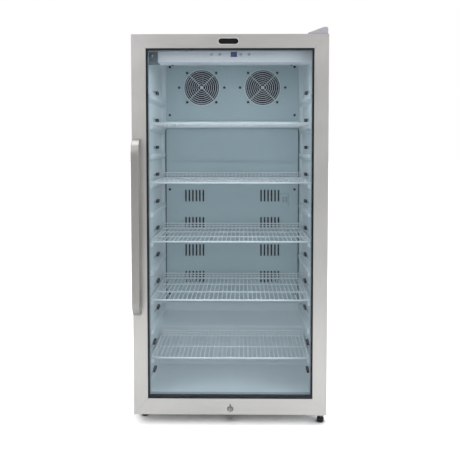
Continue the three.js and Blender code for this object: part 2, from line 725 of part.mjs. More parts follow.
place('compressor', 'blackPlastic', compressor());
place('compressor_mount', 'zincSteel', compressorMount());
place('drain_tray', 'blackPlastic', drainTray());
place('condenser_coil', 'aluminium', condenserCoil());
place('condenser_fan_mount', 'blackPlastic', condenserFanMount());
place('condenser_fan_blades', 'blackPlastic', condenserFanBlades());
place('suction_line', 'copper', suctionRoute(SUCTION.radius));
const inletBox = box(INLET.left, INLET.right, INLET.front, BACK, INLET.bottom, INLET.top);
place('power_inlet', 'blackPlastic', inletBox);

place('air_duct_panel', 'whitePlastic', ductPanel());
place('evaporator_coil', 'aluminium', evaporatorCoil());
for (const [name, side] of [['left', -1], ['right', 1]]) {
  place(`fan_guard_${name}`, 'whiteWire', fanGuard(side));
  place(`fan_frame_${name}`, 'blackPlastic', fanFrame(side));
  place(`fan_blades_${name}`, 'blackPlastic', fanBlades(side));
}

place('control_panel', 'whitePlastic', controlPanel());
place('display_module', 'display', displayModule());
for (const [i, x] of BUTTON.xs.entries()) {
  const key = rod('y', BUTTON.radius, BUTTON.front, BUTTON.back, x, BUTTON.z, 16);
  place(`control_button_${i + 1}`, 'whitePlastic', key);
}
place('door_switch_housing', 'darkPlastic', switchHousing());
const plunger = rod('y', SWITCH.plunger, SWITCH.front, SWITCH.back, SWITCH.x, SWITCH.z, 16);
place('door_switch_plunger', 'whitePlastic', plunger);
const lampFront = CONTROL.back + GAP;
const lampBox = box(-LAMP.half, LAMP.half, lampFront, CONTROL.back + LAMP.deep, LAMP.bottom, LAMP.top);
place('led_light', 'whitePlastic', lampBox);

place('top_hinge_bracket', 'zincSteel', topHingeBracket());
place('bottom_hinge_bracket', 'zincSteel', bottomHingeBracket());
place('hinge_cover', 'whitePlastic', hingeCover());
place('lock_strike', 'zincSteel', lockStrike());
for (const foot of FEET) {
  place(`foot_${foot.name}`, 'blackPlastic', levellingFoot(foot));
}

for (const rail of ['left', 'right', 'top', 'bottom']) {
  place(`door_rail_${rail}`, 'stainless', doorRail(rail));
}
place('door_core', 'blackPlastic', doorCore());
place('outer_glass', 'glass', pane(3));
place('glass_spacer', 'blackPlastic', frameRing(PANE, BORDER, 7.3, 19.3));
place('inner_glass', 'glass', pane(19.6));
place('door_gasket', 'rubber', doorGasket());
place('hinge_bush_bottom', 'darkPlastic', hingeBush(DOOR.bottom + 2.2));
place('hinge_bush_top', 'darkPlastic', hingeBush(DOOR.top - 2.2 - HINGE.reach));
place('handle', 'stainless', handle());
place('badge_plate', 'blackPlastic', badgePlate());
place('lock_body', 'stainless', lockBody());
place('lock_plug', 'stainless', lockPlug());

for (let i = 0; i < SHELF.count; i += 1) {
  const last = i === SHELF.count - 1;
  const z = SHELF.top - i * SHELF.pitch;
  place(`shelf_${i + 1}`, 'whiteWire', wireShelf(z, last ? SHELF.shortBack : SHELF.back, last ? 16 : 8));
}

export default fridge;
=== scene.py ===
"""Detailed visual pieces of a glass-door refrigerator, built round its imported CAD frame.

Everything is in metres in the frame of the CAD part: X across, Y from the door to the back, Z up.
Each sub-assembly is a class that takes its places from the CAD nodes, builds its meshes and dresses
them in procedural finishes. Rows, grids and rings of equal pieces come from Geometry Nodes trees.
"""

import logging
import math
from collections.abc import Callable, Iterable, Sequence
from dataclasses import dataclass
from enum import Enum

import bmesh
import bpy
from mathutils import Matrix, Vector


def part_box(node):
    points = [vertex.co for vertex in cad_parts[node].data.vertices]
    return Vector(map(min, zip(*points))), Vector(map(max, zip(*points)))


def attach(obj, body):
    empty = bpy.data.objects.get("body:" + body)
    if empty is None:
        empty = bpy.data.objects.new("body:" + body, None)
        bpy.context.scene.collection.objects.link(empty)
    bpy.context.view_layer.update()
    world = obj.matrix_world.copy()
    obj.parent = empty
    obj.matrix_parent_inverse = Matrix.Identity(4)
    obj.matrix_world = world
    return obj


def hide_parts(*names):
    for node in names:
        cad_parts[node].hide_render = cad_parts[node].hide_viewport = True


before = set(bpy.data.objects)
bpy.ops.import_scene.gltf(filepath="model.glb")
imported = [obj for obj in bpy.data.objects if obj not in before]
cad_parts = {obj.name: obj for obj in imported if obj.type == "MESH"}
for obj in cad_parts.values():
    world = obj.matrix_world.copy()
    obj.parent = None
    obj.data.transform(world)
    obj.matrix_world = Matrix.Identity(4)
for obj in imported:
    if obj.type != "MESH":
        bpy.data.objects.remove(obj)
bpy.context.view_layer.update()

LOG = logging.getLogger("refrigerator")

Pair = tuple[float, float]
Point = tuple[float, float, float]

DOOR_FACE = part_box("door_rail_left")[0].y


class Axis(Enum):
    """The direction along which an outline is drawn out or a profile is turned."""

    X = 0
    Y = 1
    Z = 2

    def lift(self, u: float, v: float, w: float) -> Vector:
        """Return the point at (u, v) across this axis and w along it."""
        return Vector({0: (w, u, v), 1: (u, w, v), 2: (u, v, w)}[self.value])


def back_from_door(depth: float) -> float:
    """Return the frame's Y at a depth behind the door's front face."""
    return DOOR_FACE + depth


# ---- node trees -----------------------------------------------------------------------------


class Graph:
    """Adds nodes to a shader or geometry tree and links their inputs in the same call."""

    def __init__(self, tree: bpy.types.NodeTree) -> None:
        """Wrap a node tree."""
        self.tree = tree

    def add(self, kind: str, inputs: dict | None = None, **settings: object) -> bpy.types.Node:
        """Add one node.

        Args:
            kind: The node's type name.
            inputs: Values, sockets or nodes for its inputs, by socket name or number.
            **settings: Properties of the node itself, such as operation.

        Returns:
            The new node.
        """
        node = self.tree.nodes.new(kind)
        for name, value in settings.items():
            setattr(node, name, value)
        for key, value in (inputs or {}).items():
            if isinstance(value, bpy.types.Node):
                value = value.outputs[0]
            if isinstance(value, bpy.types.NodeSocket):
                self.tree.links.new(value, node.inputs[key])
            else:
                node.inputs[key].default_value = value
        return node

    def math(self, operation: str, a: object, b: object = 0.0) -> bpy.types.Node:
        """Add a Math node on two values."""
        return self.add("ShaderNodeMath", {0: a, 1: b}, operation=operation)


# ---- finishes -------------------------------------------------------------------------------


class Grain(Enum):
    """How a surface's small pattern lies: the stretch of its noise along X, Y and Z."""

    EVEN = (1.0, 1.0, 1.0)
    ALONG_X = (0.012, 1.0, 1.0)
    ALONG_Z = (1.0, 1.0, 0.012)


@dataclass(frozen=True)
class Finish:
    """An opaque finish: base colour with broad and fine variation, varied gloss and a fine relief.

    Attributes:
        name: The material's name.
        color: Base colour, linear.
        roughness: Middle of the roughness range.
        pitch: Size of the fine pattern, in metres.
        tone: Share by which the colour varies.
        gloss: Amount by which the roughness varies.
        relief: Depth of the fine pattern, in metres.
        cloud: Size of the broad variation, in metres.
        metallic: 1 for bare metal.
        grain: Direction of the fine pattern.
        speckle: Share of small dark specks, as in cast or foamed surfaces.
        coat: Weight of a clear coat.
        sheen: Weight of a dusty sheen.
        glow: Strength of the surface's own light.
        mirror: Specular level of the surface.
    """

    name: str
    color: Point
    roughness: float
    pitch: float = 0.0012
    tone: float = 0.04
    gloss: float = 0.06
    relief: float = 0.00002
    cloud: float = 0.18
    metallic: float = 0.0
    grain: Grain = Grain.EVEN
    speckle: float = 0.0
    coat: float = 0.0
    sheen: float = 0.0
    glow: float = 0.0
    mirror: float = 0.5

    def material(self) -> bpy.types.Material:
        """Return the finish as a material, made once."""
        made = bpy.data.materials.get(self.name)
        if made is not None:
            return made
        made = bpy.data.materials.new(self.name)
        made.use_nodes = True
        made.diffuse_color = (*self.color, 1.0)
        graph = Graph(made.node_tree)
        shader = made.node_tree.nodes["Principled BSDF"]
        shader.inputs["Metallic"].default_value = self.metallic
        shader.inputs["Coat Weight"].default_value = self.coat
        shader.inputs["Specular IOR Level"].default_value = self.mirror
        shader.inputs["Coat Roughness"].default_value = 0.12
        shader.inputs["Sheen Weight"].default_value = self.sheen
        place = graph.add("ShaderNodeTexCoord").outputs["Object"]
        fine = self._fine(graph, place)
        broad = graph.add(
            "ShaderNodeTexNoise",
            {"Vector": place, "Scale": 1.0 / self.cloud, "Detail": 3.0, "Roughness": 0.55},
        )
        shade = graph.math("ADD", graph.math("MULTIPLY", fine, 0.6), graph.math("MULTIPLY", broad, 0.4))
        low = tuple(c * (1.0 - self.tone) for c in self.color)
        high = tuple(min(1.0, c * (1.0 + self.tone)) for c in self.color)
        tint = graph.add("ShaderNodeMix", data_type="RGBA")
        tint.inputs["A"].default_value = (*low, 1.0)
        tint.inputs["B"].default_value = (*high, 1.0)
        graph.tree.links.new(self._spread(graph, shade, 0.0, 1.0), tint.inputs["Factor"])
        color = tint.outputs["Result"]
        if self.speckle:
            color = self._specks(graph, place, color)
        graph.tree.links.new(color, shader.inputs["Base Color"])
        rough = self._spread(graph, shade, self.roughness - self.gloss, self.roughness + self.gloss)
        graph.tree.links.new(rough, shader.inputs["Roughness"])
        bump = graph.add("ShaderNodeBump", {"Strength": 0.6, "Distance": self.relief, "Height": fine})
        graph.tree.links.new(bump.outputs["Normal"], shader.inputs["Normal"])
        if self.glow:
            graph.tree.links.new(color, shader.inputs["Emission Color"])
            shader.inputs["Emission Strength"].default_value = self.glow
        return made

    def _fine(self, graph: Graph, place: bpy.types.NodeSocket) -> bpy.types.NodeSocket:
        """Return the fine pattern: noise stretched along the grain."""
        turned = graph.add("ShaderNodeMapping", {"Vector": place, "Scale": self.grain.value})
        noise = graph.add(
            "ShaderNodeTexNoise",
            {"Vector": turned, "Scale": 1.0 / self.pitch, "Detail": 4.0, "Roughness": 0.6},
        )
        return noise.outputs["Fac"]

    def _spread(self, graph: Graph, value: object, low: float, high: float) -> bpy.types.NodeSocket:
        """Return the middle of a noise's range spread over low to high."""
        inputs = {"Value": value, 1: 0.3, 2: 0.7, 3: max(0.0, low), 4: high}
        return graph.add("ShaderNodeMapRange", inputs).outputs["Result"]

    def _specks(
        self, graph: Graph, place: bpy.types.NodeSocket, color: bpy.types.NodeSocket
    ) -> bpy.types.NodeSocket:
        """Return the colour darkened in scattered specks."""
        cells = graph.add("ShaderNodeTexVoronoi", {"Vector": place, "Scale": 0.5 / self.pitch})
        inside = graph.math("LESS_THAN", cells.outputs["Distance"], self.speckle)
        dark = graph.add("ShaderNodeMix", data_type="RGBA", blend_type="MULTIPLY")
        graph.tree.links.new(graph.math("MULTIPLY", inside, 0.45).outputs[0], dark.inputs["Factor"])
        graph.tree.links.new(color, dark.inputs["A"])
        dark.inputs["B"].default_value = (0.25, 0.25, 0.25, 1.0)
        return dark.outputs["Result"]


@dataclass(frozen=True)
class GlassFinish:
    """Clear tinted glass that lets lamps through to what stands behind it.

    Attributes:
        name: The material's name.
        tint: Colour of what is seen through one pane.
        pass_tint: Share of light that a pane lets through to the inside.
        roughness: Blur of what it mirrors.
        mirror: Share of a bare pane's reflection that is kept.
    """

    name: str
    tint: Point
    pass_tint: Point
    roughness: float = 0.01
    mirror: float = 0.25

    def material(self) -> bpy.types.Material:
        """Return the finish as a material, made once."""
        made = bpy.data.materials.get(self.name)
        if made is not None:
            return made
        made = bpy.data.materials.new(self.name)
        made.use_nodes = True
        made.diffuse_color = (*self.tint, 0.3)
        graph = Graph(made.node_tree)
        glass = made.node_tree.nodes["Principled BSDF"]
        out = made.node_tree.nodes["Material Output"]
        glass.inputs["Transmission Weight"].default_value = 1.0
        glass.inputs["IOR"].default_value = 1.5
        glass.inputs["Specular Tint"].default_value = (self.mirror, self.mirror, self.mirror, 1.0)
        place = graph.add("ShaderNodeTexCoord").outputs["Object"]
        film = graph.add("ShaderNodeTexNoise", {"Vector": place, "Scale": 5.0, "Detail": 4.0})
        smear = graph.add(
            "ShaderNodeMapRange",
            {"Value": film, 1: 0.35, 2: 0.75, 3: self.roughness, 4: self.roughness + 0.02}
        )
        graph.tree.links.new(smear.outputs[0], glass.inputs["Roughness"])
        tone = graph.add("ShaderNodeMix", {"Factor": film.outputs["Fac"]}, data_type="RGBA")
        tone.inputs["A"].default_value = (*self.tint, 1.0)
        tone.inputs["B"].default_value = (*(min(1.0, c * 1.02) for c in self.tint), 1.0)
        graph.tree.links.new(tone.outputs["Result"], glass.inputs["Base Color"])
        clear = graph.add("ShaderNodeBsdfTransparent", {"Color": (*self.pass_tint, 1.0)})
        ray = graph.add("ShaderNodeLightPath")
        lamp = graph.math("MAXIMUM", ray.outputs["Is Shadow Ray"], ray.outputs["Is Diffuse Ray"])
        mix = graph.add("ShaderNodeMixShader", {0: lamp, 1: glass.outputs[0], 2: clear.outputs[0]})
        graph.tree.links.new(mix.outputs[0], out.inputs["Surface"])
        return made


AnyFinish = Finish | GlassFinish

STEEL_RAIL_X = Finish(
    "brushed_steel_across", (0.62, 0.615, 0.60), 0.34, 0.0006, 0.09, 0.07, 0.000012, 0.3, metallic=1.0,
    grain=Grain.ALONG_X,
)
STEEL_RAIL_Z = Finish(
    "brushed_steel_upright", (0.62, 0.615, 0.60), 0.34, 0.0006, 0.09, 0.07, 0.000012, 0.3, metallic=1.0,
    grain=Grain.ALONG_Z,
)
STEEL_HANDLE = Finish(
    "brushed_steel_handle", (0.40, 0.397, 0.385), 0.36, 0.0005, 0.08, 0.06, 0.00001, 0.2, metallic=1.0,
    grain=Grain.ALONG_Z,
)
STEEL_TURNED = Finish(
    "turned_steel", (0.36, 0.36, 0.355), 0.24, 0.0007, 0.06, 0.05, 0.000006, 0.05, metallic=1.0
)
CABINET_PAINT = Finish(
    "cabinet_paint", (0.46, 0.47, 0.49), 0.38, 0.0011, 0.025, 0.05, 0.00002, 0.25, coat=0.25
)
LINER_PLASTIC = Finish(
    "liner_plastic", (0.79, 0.835, 0.855), 0.42, 0.0015, 0.02, 0.06, 0.00001, 0.3, coat=0.12
)
PANEL_PLASTIC = Finish(
    "panel_plastic", (0.88, 0.87, 0.89), 0.42, 0.0010, 0.02, 0.05, 0.000012, 0.25, coat=0.1
)
DUCT_PLASTIC = Finish(
    "duct_plastic", (0.56, 0.65, 0.675), 0.42, 0.0010, 0.02, 0.05, 0.000012, 0.25, coat=0.1
)
COVER_PLASTIC = Finish("cover_plastic", (0.76, 0.77, 0.80), 0.44, 0.0009, 0.025, 0.06, 0.000015, 0.08)
BUTTON_PLASTIC = Finish("button_plastic", (0.52, 0.54, 0.60), 0.40, 0.0007, 0.04, 0.05, 0.00001, 0.02)
LENS_PLASTIC = Finish(
    "lamp_lens", (0.90, 0.94, 1.0), 0.35, 0.002, 0.03, 0.05, 0.00004, 0.05, grain=Grain.ALONG_Z, glow=0.6
)
DARK_PLASTIC = Finish(
    "dark_plastic", (0.085, 0.105, 0.125), 0.5, 0.0008, 0.08, 0.07, 0.000025, 0.1, mirror=0.3
)
BLACK_PLASTIC = Finish(
    "black_plastic", (0.012, 0.013, 0.015), 0.45, 0.0008, 0.15, 0.08, 0.000025, 0.1, mirror=0.12
)
CORE_PLASTIC = Finish("core_plastic", (0.42, 0.44, 0.48), 0.5, 0.0008, 0.05, 0.06, 0.00002, 0.1)
SOCKET_GREY = Finish("socket_grey", (0.38, 0.42, 0.44), 0.5, 0.0008, 0.06, 0.07, 0.00002, 0.1)
BLADE_PLASTIC = Finish(
    "blade_plastic", (0.010, 0.011, 0.014), 0.55, 0.001, 0.12, 0.06, 0.000012, 0.05, mirror=0.08
)
HINGE_PAINT = Finish("hinge_paint", (0.34, 0.34, 0.38), 0.5, 0.0009, 0.03, 0.06, 0.000015, 0.08)
BADGE_LINE = Finish("badge_rim", (0.92, 0.92, 0.92), 0.4, 0.0006, 0.03, 0.05, 0.000004, 0.02)
BADGE_ENAMEL = Finish(
    "badge_enamel", (0.006, 0.006, 0.007), 0.42, 0.0006, 0.2, 0.05, 0.000004, 0.02, mirror=0.12
)
# Dark grey for the strips beside the duct panel: painted shade in the gaps to the side walls.
GAP_SHADE_GREY = Finish("gap_shade_grey", (0.14, 0.17, 0.185), 0.6, 0.0008, 0.08, 0.07, 0.000025, 0.1)
RUBBER = Finish("gasket_rubber", (0.56, 0.575, 0.62), 0.62, 0.0008, 0.06, 0.06, 0.00003, 0.2, sheen=0.15)
FOOT_RUBBER = Finish(
    "foot_rubber", (0.014, 0.014, 0.015), 0.7, 0.0009, 0.18, 0.08, 0.00006, 0.03, sheen=0.1, mirror=0.2
)
FOAM = Finish("insulation_foam", (0.72, 0.60, 0.34), 0.92, 0.003, 0.10, 0.04, 0.0004, 0.06, speckle=0.32)
ZINC = Finish("zinc_sheet", (0.50, 0.52, 0.54), 0.40, 0.012, 0.16, 0.12, 0.00001, 0.09, metallic=0.9)
SCREW_STEEL = Finish("screw_steel", (0.45, 0.46, 0.47), 0.32, 0.0008, 0.1, 0.08, 0.00001, 0.01, metallic=1.0)
WIRE_COAT = Finish("wire_coating", (0.95, 0.96, 0.97), 0.32, 0.0013, 0.03, 0.06, 0.00003, 0.08, coat=0.3)
GUARD_COAT = Finish("guard_coating", (0.86, 0.87, 0.90), 0.34, 0.0013, 0.03, 0.06, 0.00002, 0.08, coat=0.2)
COPPER = Finish("copper_tube", (0.72, 0.36, 0.20), 0.30, 0.004, 0.18, 0.12, 0.00001, 0.05, metallic=1.0)
ALUMINIUM = Finish(
    "aluminium_fin", (0.62, 0.64, 0.66), 0.36, 0.0008, 0.07, 0.08, 0.00001, 0.1, metallic=1.0,
    grain=Grain.ALONG_Z,
)
SHELL_PAINT = Finish(
    "compressor_paint", (0.015, 0.016, 0.018), 0.42, 0.0016, 0.2, 0.1, 0.00008, 0.06, coat=0.2
)
SCREEN = Finish(
    "display_screen", (0.035, 0.05, 0.20), 0.12, 0.0006, 0.12, 0.03, 0.000002, 0.01, coat=0.5, glow=0.6
)
CIRCUIT_BOARD = Finish("circuit_board", (0.02, 0.12, 0.05), 0.4, 0.003, 0.3, 0.08, 0.00002, 0.03)
SPACER_PRINT = Finish(
    "spacer_print", (0.018, 0.024, 0.028), 0.42, 0.0006, 0.1, 0.06, 0.000006, 0.1, mirror=0.12
)
FLOOR_PAINT = Finish("floor_paint", (0.93, 0.93, 0.93), 0.8, pitch=0.02, tone=0.01)
DOOR_GLASS = GlassFinish("door_glass", (0.80, 0.85, 0.875), (0.965, 0.97, 0.975))


# ---- mesh tools -----------------------------------------------------------------------------


def settled(mesh_object: bpy.types.Object) -> bpy.types.Object:
    """Apply an object's modifiers to its mesh.

    Args:
        mesh_object: The object whose evaluated mesh replaces its own.

    Returns:
        The same object, without modifiers.
    """
    depsgraph = bpy.context.evaluated_depsgraph_get()
    depsgraph.update()
    result = bpy.data.meshes.new_from_object(mesh_object.evaluated_get(depsgraph))
    mesh_object.modifiers.clear()
    mesh_object.data = result
    return mesh_object


def listed(mesh: bpy.types.Mesh, name: str) -> bpy.types.Object:
    """Return a new object with a mesh, linked to the scene."""
    made = bpy.data.objects.new(name, mesh)
    bpy.context.scene.collection.objects.link(made)
    return made


def softened(
    mesh_object: bpy.types.Object, width: float, segments: int = 2, angle: float = 32.0
) -> bpy.types.Object:
    """Round an object's edges and give its flat faces even shading.

    Args:
        mesh_object: The object to finish.
        width: Radius of the rounding, in metres, or 0 for shading only.
        segments: Faces across a rounding.
        angle: Edges that turn more than this many degrees are rounded.

    Returns:
        The same object.
    """
    if width > 0:
        bevel = mesh_object.modifiers.new("rounding", "BEVEL")
        bevel.limit_method = "ANGLE"
        bevel.angle_limit = math.radians(angle)
        bevel.width = width
        bevel.segments = segments
        bevel.use_clamp_overlap = True
        bevel.miter_outer = "MITER_ARC"
        settled(mesh_object)
    mesh_object.data.shade_smooth()
    mesh_object.data.set_sharp_from_angle(angle=math.radians(46.0))
    weighted = mesh_object.modifiers.new("shading", "WEIGHTED_NORMAL")
    weighted.keep_sharp = True
    return settled(mesh_object)


def combined(
    base: bpy.types.Object, tool: bpy.types.Object, operation: str = "DIFFERENCE"
) -> bpy.types.Object:
    """Cut, join or intersect one object with another, and drop the tool.

    Args:
        base: The object that is changed.
        tool: The object that it is combined with.
        operation: DIFFERENCE, UNION or INTERSECT.

    Returns:
        The base.
    """
    boolean = base.modifiers.new("combine", "BOOLEAN")
    boolean.operation = operation
    boolean.solver = "MANIFOLD"
    boolean.object = tool
    settled(base)
    bpy.data.objects.remove(tool)
    return base


def joined(name: str, parts: Sequence[bpy.types.Object]) -> bpy.types.Object:
    """Put several objects' meshes in one object, with their materials.

    Args:
        name: The new object's name.
        parts: The objects, which are removed.

    Returns:
        The new object.
    """
    materials: list[bpy.types.Material] = []
    whole = bmesh.new()
    for part in parts:
        for material in part.data.materials:
            if material not in materials:
                materials.append(material)
        slots = [materials.index(m) for m in part.data.materials] or [0]
        known = len(whole.faces)
        whole.from_mesh(part.data)
        whole.faces.ensure_lookup_table()
        for face in whole.faces[known:]:
            face.material_index = slots[min(face.material_index, len(slots) - 1)]
    mesh = bpy.data.meshes.new(name)
    whole.to_mesh(mesh)
    whole.free()
    for material in materials:
        mesh.materials.append(material)
    for part in parts:
        bpy.data.objects.remove(part)
    return listed(mesh, name)


def dressed(mesh_object: bpy.types.Object, finish: AnyFinish) -> bpy.types.Object:
    """Give a whole object one finish."""
    mesh_object.data.materials.clear()
    mesh_object.data.materials.append(finish.material())
    return mesh_object


def seated(
    mesh_object: bpy.types.Object, body: str, nodes: Iterable[str] = ()
) -> bpy.types.Object:
    """Let a finished object ride on its body.

    Args:
        mesh_object: The finished object.
        body: The CAD body that carries it.
        nodes: CAD nodes that it stands for.

    Returns:
        The same object.
    """
    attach(mesh_object, body)
    if nodes:
        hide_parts(*nodes)
    LOG.info("%s rides on %s with %d faces", mesh_object.name, body, len(mesh_object.data.polygons))
    return mesh_object


def rounded_outline(corners: Sequence[tuple[float, float, float]], steps: int = 4) -> list[Pair]:
    """Return an outline with rounded corners.

    Args:
        corners: Each corner's (u, v, radius), in order.
        steps: Faces along a rounding.

    Returns:
        The outline's points.
    """
    points: list[Pair] = []
    count = len(corners)
    for i, (u, v, radius) in enumerate(corners):
        here = Vector((u, v))
        if radius <= 0:
            points.append((u, v))
            continue
        to_last = (Vector(corners[i - 1][:2]) - here).normalized()
        to_next = (Vector(corners[(i + 1) % count][:2]) - here).normalized()
        half = to_last.angle(to_next) / 2
        reach = radius / math.tan(half)
        centre = here + (to_last + to_next).normalized() * radius / math.sin(half)
        start = here + to_last * reach - centre
        end = here + to_next * reach - centre
        for k in range(steps + 1):
            spot = start.slerp(end, k / steps) if start.angle(end) > 1e-6 else start
            points.append(tuple(centre + spot.normalized() * radius))
    return points


def slab_outline(
    width: float, height: float, radius: float, steps: int = 4, u: float = 0, v: float = 0
) -> list[Pair]:
    """Return a rounded rectangle's outline about (u, v)."""
    a, b = width / 2, height / 2
    corners = [
        (u - a, v - b, radius), (u + a, v - b, radius), (u + a, v + b, radius), (u - a, v + b, radius)
    ]
    return rounded_outline(corners, steps)


def ring_of(radius: float, sides: int, u: float = 0.0, v: float = 0.0, turn: float = 0.0) -> list[Pair]:
    """Return a circle's points about (u, v)."""
    angles = [turn + 2 * math.pi * i / sides for i in range(sides)]
    return [(u + radius * math.cos(a), v + radius * math.sin(a)) for a in angles]


class Mould:
    """One mesh in the making: closed solids are added to it, and it turns into an object."""

    def __init__(self) -> None:
        """Start an empty mesh."""
        self.mesh = bmesh.new()

    def loft(
        self, loops: Sequence[Sequence[Vector]], closed: bool = False, strips: bool = False
    ) -> "Mould":
        """Add a solid that runs through loops of points.

        Args:
            loops: Loops with the same number of points, or one point for a pole.
            closed: True joins the last loop to the first, without end faces.
            strips: True fills curved ends with strips from one long side to the other.

        Returns:
            This mould.
        """
        rows = [[self.mesh.verts.new(p) for p in loop] for loop in loops]
        pairs = list(zip(rows, rows[1:]))
        if closed:
            pairs.append((rows[-1], rows[0]))
        made = []
        for a, b in pairs:
            count = max(len(a), len(b))
            for i in range(count):
                j = (i + 1) % count
                corners = [a[i % len(a)], a[j % len(a)], b[j % len(b)], b[i % len(b)]]
                unique = list(dict.fromkeys(corners))
                if len(unique) > 2:
                    made.append(self.mesh.faces.new(unique))
        if not closed:
            for row in (rows[0], rows[-1]):
                last = len(row) - 1
                if strips:
                    for i in range(last // 2):
                        corners = [row[i], row[i + 1], row[last - i - 1], row[last - i]]
                        made.append(self.mesh.faces.new(corners))
                elif last > 1:
                    made.append(self.mesh.faces.new(row))
        bmesh.ops.recalc_face_normals(self.mesh, faces=made)
        return self

    def block(self, low: Sequence[float], high: Sequence[float]) -> "Mould":
        """Add a box between two corners."""
        (x0, y0, z0), (x1, y1, z1) = low, high
        outline = [(x0, y0), (x1, y0), (x1, y1), (x0, y1)]
        return self.prism(outline, Axis.Z, z0, z1)

    def prism(self, outline: Sequence[Pair], axis: Axis, start: float, end: float) -> "Mould":
        """Add an outline drawn out along an axis."""
        return self.loft([[axis.lift(u, v, w) for u, v in outline] for w in (start, end)])

    def tapered(self, layers: Sequence[tuple[Sequence[Pair], float]], axis: Axis) -> "Mould":
        """Add a solid through outlines with the same number of points, each at its place on an axis."""
        return self.loft([[axis.lift(u, v, w) for u, v in outline] for outline, w in layers])

    def turned(
        self, profile: Sequence[Pair], axis: Axis, centre: Pair, sides: int = 32, closed: bool = False
    ) -> "Mould":
        """Add a turned solid.

        Args:
            profile: Points of (radius, place on the axis).
            axis: The axis it is turned about.
            centre: The axis's place in the two other directions.
            sides: Faces round it.
            closed: True for a ring whose profile closes on itself.

        Returns:
            This mould.
        """
        loops = []
        for radius, place in profile:
            circle = ring_of(radius, sides, *centre) if radius > 1e-7 else [centre]
            loops.append([axis.lift(u, v, place) for u, v in circle])
        return self.loft(loops, closed)

    def shifted(self, matrix: Matrix) -> "Mould":
        """Move or turn everything in the mould."""
        bmesh.ops.transform(self.mesh, matrix=matrix, verts=self.mesh.verts)
        return self

    def piece(
        self, name: str, finish: AnyFinish | None = None, width: float = 0.0, segments: int = 2
    ) -> bpy.types.Object:
        """Turn the mould into an object.

        Args:
            name: The object's name.
            finish: Its finish, if it has one already.
            width: Radius of the rounding of its edges.
            segments: Faces across a rounding.

        Returns:
            The new object.
        """
        mesh = bpy.data.meshes.new(name)
        self.mesh.to_mesh(mesh)
        self.mesh.free()
        made = softened(listed(mesh, name), width, segments)
        return dressed(made, finish) if finish else made


def rod_profile(radius: float, start: float, end: float, edge: float) -> list[Pair]:
    """Return the profile of a round rod with rounded ends, for turning."""
    cut = edge * 0.3
    return [
        (0.0, start),
        (radius - edge, start),
        (radius - cut, start + cut),
        (radius, start + edge),
        (radius, end - edge),
        (radius - cut, end - cut),
        (radius - edge, end),
        (0.0, end),
    ]


def node_copy(node: str, name: str) -> bpy.types.Object:
    """Return a new object with a CAD node's shape, its loose triangles merged into whole faces.

    Args:
        node: The CAD node.
        name: The new object's name.

    Returns:
        The new object.
    """
    whole = bmesh.new()
    whole.from_mesh(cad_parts[node].data)
    bmesh.ops.remove_doubles(whole, verts=whole.verts, dist=2e-6)
    flat, free = math.radians(0.6), math.pi
    bmesh.ops.join_triangles(
        whole, faces=whole.faces, angle_face_threshold=flat, angle_shape_threshold=free
    )
    mesh = bpy.data.meshes.new(name)
    whole.to_mesh(mesh)
    whole.free()
    return listed(mesh, name)


def refined(
    node: str, name: str, finish: AnyFinish, body: str, width: float = 0.0006, segments: int = 2
) -> bpy.types.Object:
    """Build a CAD node again with rounded edges and its finish, and seat it.

    Args:
        node: The CAD node that the piece stands for.
        name: The piece's name.
        finish: Its finish.
        body: The CAD body that carries it.
        width: Radius of the rounding of its edges.
        segments: Faces across a rounding.

    Returns:
        The piece.
    """
    piece = dressed(softened(node_copy(node, name), width, segments), finish)
    return seated(piece, body, [node])


# ---- repeated shapes ------------------------------------------------------------------------


